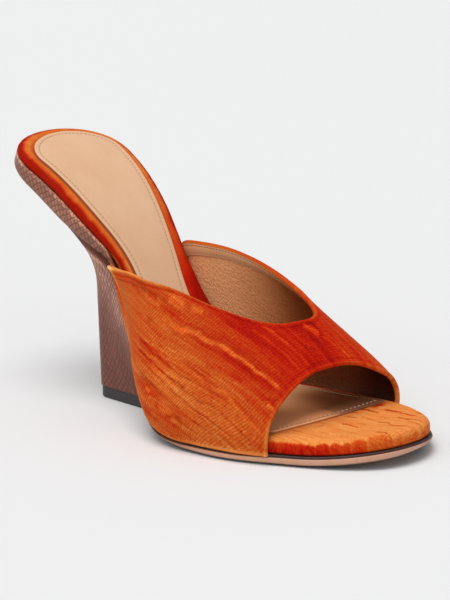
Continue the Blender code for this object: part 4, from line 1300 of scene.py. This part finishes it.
def build_sock_stitches(material):
    loop = sock_loop(STITCH_IN)
    top = FOOTBED_THICK + GAP + SOCK_THICK - 0.10
    keep = (len(loop) - 60) // 2
    front, sides = loop[keep : keep + 61], np.concatenate([loop[keep + 61 :], loop[:keep]])
    stitch_row("sock_stitches", on_last(sides, top - sock_dip(sides[:, 0])), up_at(sides[:, 0]), 1.75, 1.20, 0.14, material)
    light = thread("sock front thread", tuple(linear(238, 210, 182)))
    stitch_row("sock_front_stitches", on_last(front, top + 0.08 - sock_dip(front[:, 0])), up_at(front[:, 0]), 2.3, 1.4, 0.20, light)
    edge = sock_loop(2.6, with_row=0.0)
    edge = edge[(edge[:, 1] > axis_at(edge[:, 0]) + 3.0) & (edge[:, 0] > 99.0) & (edge[:, 0] < 186.0)]
    stitch_row("sock_edge_stitches", on_last(edge, top + 0.06 - sock_dip(edge[:, 0])), up_at(edge[:, 0]), 1.75, 1.20, 0.14, material)


# ------------------------------------------------------------------ sole, welt
def sole_offset(s):
    tuck = SOLE_TUCK * (1 - ease(s, 130.0, 162.0))
    beside_upper = UPPER_CLEAR + UPPER_THICK + SOLE_PROUD - tuck
    return beside_upper + (TOE_LEDGE - beside_upper) * ease(s, 178.0, 206.0)


def waist_loop(s_back, offset_at, inset=0.0, count=150):
    """Sole outline that starts straight across at s_back: back medial corner last."""
    s = stations(s_back, SOLE_LENGTH, 2 * count)[count // 2 :]
    s = np.concatenate([np.linspace(s_back, s[0], count // 2, endpoint=False), s])
    lat = np.stack([s, side_y(s, -1)], axis=1)
    med = np.stack([s, side_y(s, 1)], axis=1)[-2::-1]
    loop = np.concatenate([lat, med])
    fwd, back = np.roll(loop, -1, axis=0), np.roll(loop, 1, axis=0)
    run = fwd - back
    run[0], run[-1] = loop[1] - loop[0], loop[-1] - loop[-2]
    run /= np.linalg.norm(run, axis=1)[:, None]
    out = np.stack([run[:, 1], -run[:, 0]], axis=1)
    moved = loop + out * (np.broadcast_to(offset_at(loop[:, 0]), len(loop)) - inset)[:, None]
    moved[0, 0] = moved[-1, 0] = s_back
    return moved


def open_fill(loop, rings):
    """Rings from a U-shaped outline in to its middle line; both halves pair up from the back."""
    mirror = loop[::-1]
    axis = (loop + mirror) / 2
    f = np.linspace(0, 1, rings + 1)
    return loop[None] * (1 - f)[:, None, None] + axis[None] * f[:, None, None]


def build_layer(name, s_back, profile, material, shade, fill=8, waist=(0.0, 0.0, 0.0)):
    """A sole layer from its edge profile of (inset, n) pairs, top first, filled above and below; with painted shade at
    its waist.
    """
    rings = []
    for inset, n, *thin in profile:
        loop = waist_loop(s_back, sole_offset, inset)
        height = n(loop[:, 0]) if callable(n) else np.full(len(loop), n)
        if thin and callable(thin[0]):
            loop = waist_loop(s_back, sole_offset, inset + thin[0](loop[:, 0]))
        elif thin:
            back = 1 - ease(loop[:, 0], 138.0, 180.0)
            tip = ease(loop[:, 0], 196.0, 224.0) * ease(loop[:, 1] - axis_at(loop[:, 0]), -16.0, 12.0)
            loop = waist_loop(s_back, sole_offset, inset + thin[0] * np.maximum(back, tip))
            height = height + 0.30 * thin[0] * np.maximum(back, 0.6 * tip)
        rings.append((loop, height))
    top = [(l, rings[0][1]) for l in open_fill(rings[0][0], fill)[1:]][::-1]
    low = [(l, rings[-1][1]) for l in open_fill(rings[-1][0], fill)[1:]]
    stack = top + rings + low
    verts = np.concatenate([on_last(l, n) for l, n in stack])
    flat = np.concatenate([l for l, _ in stack])
    cols = len(stack[0][0])
    paint = np.ones((len(flat), 4))
    value = np.concatenate([np.full(cols, shade(k - len(top), len(rings))) for k in range(len(stack))])
    paint[:, :3] = value[:, None]
    # painted shade, deeper towards the waist
    paint[:, :3] *= 1.0 - (1 - ease(flat[:, 0], 136.0, 176.0))[:, None] * np.array(waist)
    depth = np.concatenate([n for _, n in stack])
    weave = np.stack([flat[:, 0], flat[:, 1], depth], axis=1)
    return new_object(name, verts, loft_faces(len(stack), cols).tolist(), material, smooth_angle=50,
                      attributes={"weave": weave, "paint": paint})


def welt_thick(s):
    return WELT_THICK * (0.4 + 0.6 * ease(s, WELT_BACK_S, 100.0))


def build_welt():
    g = GAP

    def beside(s):
        return 0.90 * (1 - ease(s, 188.0, 202.0))

    profile = (
        (0.80, lambda s: np.full(len(s), -g + 0.22), beside),
        (0.50, lambda s: -g + 0.10 + 0 * s, beside),
        (0.38, lambda s: -g - 0.15 * welt_thick(s), beside),
        (0.38, lambda s: -g - 0.50 * welt_thick(s), beside),
        (0.46, lambda s: -g - 0.80 * welt_thick(s), beside),
        (0.60, lambda s: -g - welt_thick(s) - 0.40, beside),
    )
    mat = smooth_leather("welt leather", tuple(linear(66, 38, 30)), tuple(linear(50, 28, 23)), rough=(0.40, 0.55), grain=0.03)
    return build_layer("welt_edge", WELT_BACK_S, profile, mat, lambda k, n: 1.0)


def build_outsole():
    low = -2 * GAP - WELT_THICK - OUTSOLE_THICK
    t = OUTSOLE_THICK + 0.62
    top = low + t

    def crown(s):
        return top - 0.62 * (1 - ease(s, 184.0, 206.0))

    profile = ((0.30, lambda s: crown(s) + 0.14, 0.0), (0.16, crown, 0.0), (0.10, lambda s: crown(s) - 0.35, 0.3), (0.12, top - 0.40 * t, 0.8), (0.24, top - 0.56 * t, 1.4), (0.62, top - 0.71 * t, 2.0), (1.3, top - 0.81 * t, 2.6),
               (2.4, top - 0.90 * t, 2.8), (4.0, top - 0.96 * t, 2.8), (5.8, top - t, 2.8))
    mat = smooth_leather("sole leather", tuple(linear(214, 164, 136)), tuple(linear(202, 148, 120)), rough=(0.36, 0.55), grain=0.04, grain_scale=1.6)

    # painted shade: a darker top edge, and a dark band round the lower edge that stands for the contact shadow under
    # the sole
    def shade(k, n):
        if k < 1:
            return 0.55
        return 1.0 if k < 5 or k > 9 else (0.34, 0.10, 0.05, 0.06, 0.20)[k - 5]

    # painted shade over the waist, where the sole's underside lies in shadow
    return build_layer("outsole_leather", BREAST_S + GAP, profile, mat, shade, fill=14, waist=(0.74, 0.79, 0.82))


# ------------------------------------------------------------------ heel
HEEL_U, HEEL_WELT_N = 180, 26


def heel_seat_loop(offset):
    ahead = np.linspace(BREAST_S, WELT_BACK_S - 0.4, HEEL_WELT_N)
    behind = (WELT_BACK_S - 1.2) * np.linspace(1, 0, HEEL_U // 2 + 1 - HEEL_WELT_N) ** 1.4
    s = np.concatenate([ahead, behind])
    lat = np.stack([s, side_y(s, -1)], axis=1)
    med = np.stack([s, side_y(s, 1)], axis=1)[-2::-1]
    loop = np.concatenate([lat, med])
    fwd, back = np.roll(loop, -1, axis=0), np.roll(loop, 1, axis=0)
    run = fwd - back
    run[0], run[-1] = loop[1] - loop[0], loop[-1] - loop[-2]
    run /= np.linalg.norm(run, axis=1)[:, None]
    out = np.stack([-run[:, 1], run[:, 0]], axis=1)
    moved = loop + out * np.broadcast_to(offset, len(loop))[:, None]
    moved[0, 0] = moved[-1, 0] = BREAST_S
    return moved


def heel_base_loop(inset, z, u=HEEL_U):
    x0, x1 = HEEL_BASE_X[0] + inset, HEEL_BASE_X[1] - inset
    half, r = HEEL_BASE_HALF - inset, HEEL_BASE_CORNER - inset
    count = u // 2 + 1
    side_n, arc_n = int(count * 0.31), int(count * 0.40)
    pts = [(x1 + (x0 + r - x1) * i / side_n, -half) for i in range(side_n)]
    for i in range(arc_n):
        a = math.pi / 2 * i / arc_n
        pts.append((x0 + r - r * math.sin(a), -half + r - r * math.cos(a)))
    flat_n = count - side_n - arc_n
    pts += [(x0, -(half - r) * (1 - i / (flat_n - 1))) for i in range(flat_n)]
    lat = np.array([(x, y, z) for x, y in pts])
    med = lat[-2::-1] * (1, -1, 1)
    return np.concatenate([lat, med])


def heel_floor(s):
    return -GAP - np.where(s > WELT_BACK_S - 0.8, welt_thick(s) + GAP, 0.0)


def build_heel():
    inner = heel_seat_loop(RIM_IN)
    s = inner[:, 0]
    floor = heel_floor(s)
    rim = 1 - ease(s, *RIM_ENDS_S)
    edge = RIM_OUT + HEEL_SIDE_OUT * ease(s, *RIM_ENDS_S)
    deep = (RIM_DEPTH_BACK + (RIM_DEPTH - RIM_DEPTH_BACK) * ease(s, -4.0, 42.0)) * (1 - 0.62 * ease(s, 42.0, 68.0))
    top_in, top_out = floor + (RIM_TOP_IN - floor) * rim + 0.01, floor + (RIM_TOP_OUT - floor) * rim - 0.15 * (1 - rim)
    # in front of the rim the seat's side slopes in under the vamp
    tuck = 4.6 * ease(s, 57.0, 80.0)

    def wall(offset, n):
        under = np.clip((top_out - n) / (top_out + deep + 0.2), 0.0, 1.0)
        return on_last(heel_seat_loop(offset - tuck * under), n)

    rings = [on_last(inner, floor), on_last(inner, floor + (top_in - floor) * 0.7)]
    # the folded top of the rim, rounded
    for t in np.linspace(0, 1, 7):
        turn = math.pi * t
        width = (edge - RIM_IN) / 2
        offset = RIM_IN + width * (1 - math.cos(turn))
        rise = top_in + (top_out - top_in) * t - 0.15 * rim + 0.22 * rim * math.sin(turn)
        rings.append(on_last(heel_seat_loop(offset), rise))
    for t in np.linspace(0, 1, 7)[1:]:
        low = np.minimum(-deep * 0.45, floor - 0.8)
        rings.append(wall(edge + 0.1 * t, top_out - 0.15 * rim + (low - top_out + 0.15 * rim) * t))
    for t in np.linspace(0, 1, 5)[1:]:
        low = np.minimum(-deep * 0.45, floor - 0.8)
        rings.append(wall(edge + 0.1 - 0.6 * t * t, low + (-deep * 0.85 - 0.2 - low) * t))
    shelf = heel_seat_loop(edge - 1.8 + 1.2 * ease(s, 46.0, 64.0) - tuck)
    end = heel_base_loop(0.0, LIFT_THICK + 0.02)
    neck_s = s_of_x(end[:, 0])
    for _ in range(6):
        neck_s = s_of_x(end[:, 0] + HEEL_NECK_DROP * np.sin(np.radians(pitch_at(neck_s))))
    neck_s = np.minimum(neck_s, BREAST_S - 0.5)
    neck_y = end[:, 1] * HEEL_NECK_FLARE
    turn = place(neck_s, neck_y, -HEEL_NECK_DROP)

    def underside(t):
        return place(
            shelf[:, 0] + (neck_s - shelf[:, 0]) * t,
            shelf[:, 1] + (neck_y - shelf[:, 1]) * t,
            -deep - 0.2 - (HEEL_NECK_DROP - deep - 0.2) * t,
        )

    reach = np.linalg.norm(turn - underside(0.0), axis=1)
    stop = 1 - np.minimum(HEEL_NECK_ROUND / np.maximum(reach, 1e-6), 0.6)
    rings.append(underside(-0.0006 * np.ones(len(stop))))
    crease = len(rings)
    for t in np.linspace(0, 1, 25):
        rings.append(underside(t * stop))
    leave = underside(stop)
    down = (end - turn) / np.linalg.norm(end - turn, axis=1)[:, None]
    join = turn + down * HEEL_NECK_ROUND
    for t in np.linspace(0, 1, 14)[1:]:
        rings.append((1 - t) ** 2 * leave + 2 * t * (1 - t) * turn + t * t * join)
    for t in np.linspace(0, 1, 26)[1:]:
        rings.append(join + (end - join) * t)
    grid = np.array(rings)
    r, c = grid.shape[:2]
    u = np.concatenate([np.zeros((r, 1)), np.cumsum(np.linalg.norm(np.diff(grid, axis=1), axis=2), axis=1)], axis=1)
    u = u - u[:, c // 2 : c // 2 + 1]
    v = np.concatenate([np.zeros((1, c)), np.cumsum(np.linalg.norm(np.diff(grid, axis=0), axis=2), axis=0)], axis=0)
    # below the shelf's edge the rows of scales are set out from the floor up, so that they run level round the column
    v = np.where(np.arange(r)[:, None] < crease, v, 200.0 + v - v[-1:])
    weave = np.stack([u, v, np.zeros_like(u)], axis=-1).reshape(-1, 3)
    faces = loft_faces(r, c).tolist()
    for row in (0, r - 1):
        base = row * c
        faces += zip_faces([base + i for i in range(c // 2 + 1)], [base + c - 1 - i for i in range(c // 2 + 1)])
    paint = np.ones((r * c, 4))
    shade = np.ones((r, c))
    # painted highlight along the rim's top edge, painted shade at the rim's end by the vamp and at the heel end,
    # painted light under the shelf, and a painted highlight and reflection, paler and greyer, on the neck
    shade[2:10] = 3.0 + 0.9 * np.sign(noise(u[2:10] / 1.1, v[2:10] * 0.3, 81))
    shade[10:crease] = 1.62
    shade[10:crease] *= 1 - 0.22 * bell(s, 66.0, 9.0) - 0.34 * (1 - ease(s, 0.0, 24.0))
    # painted light under the shelf, lifting the shade that falls there
    shade[crease : crease + 26] *= 1 + 0.45 * bell(s, 62.0, 14.0)
    # painted highlight and reflection on the neck, paler and greyer
    neck_highlight = bell(np.arange(r), crease + 28.0, 9.0)[:, None] * np.ones((1, c))
    shade = shade * (1 + 1.5 * neck_highlight)
    warm = np.where((np.arange(r) >= 2) & (np.arange(r) < crease), 1.0, 0.0)[:, None] * np.ones((1, c))
    paint[:, :3] = shade.reshape(-1)[:, None] * (1 + neck_highlight.reshape(-1)[:, None] * np.array([-0.08, 0.45, 0.80]) + warm.reshape(-1)[:, None] * np.array([0.0, 0.20, 0.18]))
    low = np.repeat(ease(np.arange(r, dtype=float), crease + 40.0, crease + 52.0), c)
    paint[:, :3] *= 1 - low[:, None] * np.array([0.05, 0.16, 0.21])
    return new_object("heel_leather", grid.reshape(-1, 3), faces, scaled_leather("scale-embossed leather"), smooth_angle=50,
                      attributes={"weave": weave, "paint": paint})


def build_lift():
    profile = ((3.0, 0.0), (LIFT_INSET + 0.9, 0.0), (LIFT_INSET + 0.45, 0.08), (LIFT_INSET + 0.15, 0.3), (LIFT_INSET, 0.7), (LIFT_INSET, 2.6), (LIFT_INSET, LIFT_THICK - 0.35),
               (LIFT_INSET + 0.12, LIFT_THICK - 0.1), (LIFT_INSET + 0.35, LIFT_THICK))
    rings = np.array([heel_base_loop(i, z, 120) for i, z in profile])
    r, c = rings.shape[:2]
    faces = loft_faces(r, c).tolist()
    for row in (0, r - 1):
        base = row * c
        faces += zip_faces([base + i for i in range(c // 2 + 1)], [base + c - 1 - i for i in range(c // 2 + 1)])
    flat = rings.reshape(-1, 3)
    paint = np.ones((len(flat), 4))
    # painted highlight: a light line round the lift just under its top edge
    paint[:, :3] = (1.0 + 0.5 * bell(flat[:, 2], 4.8, 0.25))[:, None]
    return new_object("lift_rubber", flat, faces, rubber("lift rubber", tuple(linear(50, 45, 47))), smooth_angle=40,
                      attributes={"weave": flat, "paint": paint})


# ------------------------------------------------------------------ put together
upper = build_upper()
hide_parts("upper")
lining = build_lining()
facing = build_facing()
footbed = build_footbed()
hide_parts("footbed")
sock = build_sock()
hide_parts("insole_sock")
welt = build_welt()
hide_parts("welt")
outsole = build_outsole()
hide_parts("outsole")
heel = build_heel()
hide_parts("heel")
lift = build_lift()
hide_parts("top_lift")

sock_thread = thread("sock thread", tuple(linear(206, 158, 122)))
build_sock_stitches(sock_thread)


def edge_row(d, depth, lo, hi, count):
    """Points at d from the upper's topline, and the normals there."""
    pts, normals = [], []
    for ai in np.linspace(lo, hi, count):
        x_dense = topline_x_at(ai) + (toe_edge_x_at(ai) - topline_x_at(ai)) * np.linspace(0, 1, 160)
        p = upper_point(x_dense, np.full(160, ai))
        run = np.concatenate([[0.0], np.cumsum(np.linalg.norm(np.diff(p, axis=0), axis=1))])
        x = np.interp(d, run, x_dense)
        n = upper_normal(np.array([x]), np.array([ai]))[0]
        pts.append(upper_point(x, ai) - n * depth)
        normals.append(n if depth < 1 else -n)
    return np.array(pts), np.array(normals)


facing_thread = thread("facing thread", tuple(linear(150, 96, 62)))
pts, normals = edge_row(FOLD_IN + 0.65, UPPER_THICK + 0.12, 0.016, 0.984, 400)
stitch_row("facing_stitches", pts, normals, 1.5, 0.95, 0.15, facing_thread)

# ------------------------------------------------------------------ floor, light, camera
scene = bpy.context.scene


def build_floor():
    mesh = bpy.data.meshes.new("floor")
    bm = bmesh.new()
    bmesh.ops.create_grid(bm, x_segments=8, y_segments=8, size=9.0)
    bm.to_mesh(mesh)
    bm.free()
    m = Nodes("floor paint")
    where = m.put("TexCoord").outputs["Object"]
    mottle = m.noise(where, 0.6, 2.0)
    base = m.times((0.815, 0.818, 0.821), m.range(mottle, 0.3, 0.7, 0.995, 1.005))
    m.set(Base_Color=base, Roughness=0.75, Specular_IOR_Level=0.10)
    mesh.materials.append(m.mat)
    obj = bpy.data.objects.new("floor", mesh)
    obj.location = (0.0, 0.0, -0.00005)
    scene.collection.objects.link(obj)


build_floor()

world = bpy.data.worlds.new("studio")
scene.world = world
world.use_nodes = True
world.node_tree.nodes["Background"].inputs[0].default_value = (1.0, 1.0, 1.0, 1.0)
world.node_tree.nodes["Background"].inputs[1].default_value = 0.42


def soft_sun(name, toward, strength, angle, colour=(1.0, 1.0, 1.0)):
    """A broad even light that comes from the direction toward."""
    light = bpy.data.lights.new(name, "SUN")
    light.energy, light.angle, light.color = strength, math.radians(angle), colour
    obj = bpy.data.objects.new(name, light)
    obj.rotation_mode = "QUATERNION"
    obj.rotation_quaternion = Vector(toward).normalized().to_track_quat("Z", "Y")
    scene.collection.objects.link(obj)


soft_sun("key", (-0.04, -0.22, 1.10), 1.62, 40.0)
soft_sun("fill", (-0.12, -0.90, 1.00), 0.50, 60.0)
soft_sun("front", (0.70, -0.70, 0.50), 0.25, 60.0)

# the camera stands where it stood for the photograph, and looks at the one shoe
VIEW_AZ, VIEW_EL = math.radians(44.89), math.radians(12.74)
VIEW_TARGET, VIEW_DIST, VIEW_FOCAL = np.array([76.67, 67.92, 74.8]), 1343.37, 2570.0
AIM_PX, ZOOM = (174.0, 383.0), 1.27
_back = np.array([math.sin(VIEW_AZ) * math.cos(VIEW_EL), -math.cos(VIEW_AZ) * math.cos(VIEW_EL), math.sin(VIEW_EL)])
_right = np.array([math.cos(VIEW_AZ), math.sin(VIEW_AZ), 0.0])
_up = np.cross(_back, _right)
_eye = VIEW_TARGET + _back * VIEW_DIST
_look = -_back + _right * (AIM_PX[0] - 225.0) / VIEW_FOCAL - _up * (AIM_PX[1] - 300.0) / VIEW_FOCAL
cam_data = bpy.data.cameras.new("camera")
cam_data.sensor_fit = "VERTICAL"
cam_data.sensor_width = cam_data.sensor_height = 36.0
cam_data.lens = VIEW_FOCAL * ZOOM / 600.0 * 36.0
cam_data.clip_start, cam_data.clip_end = 0.01, 60.0
camera = bpy.data.objects.new("camera", cam_data)
camera.location = _eye * 0.001 + SHIFT
camera.rotation_mode = "QUATERNION"
camera.rotation_quaternion = Vector(_look).to_track_quat("-Z", "Y")
scene.collection.objects.link(camera)
scene.camera = camera

scene.view_settings.view_transform = "Standard"
scene.view_settings.look = "None"
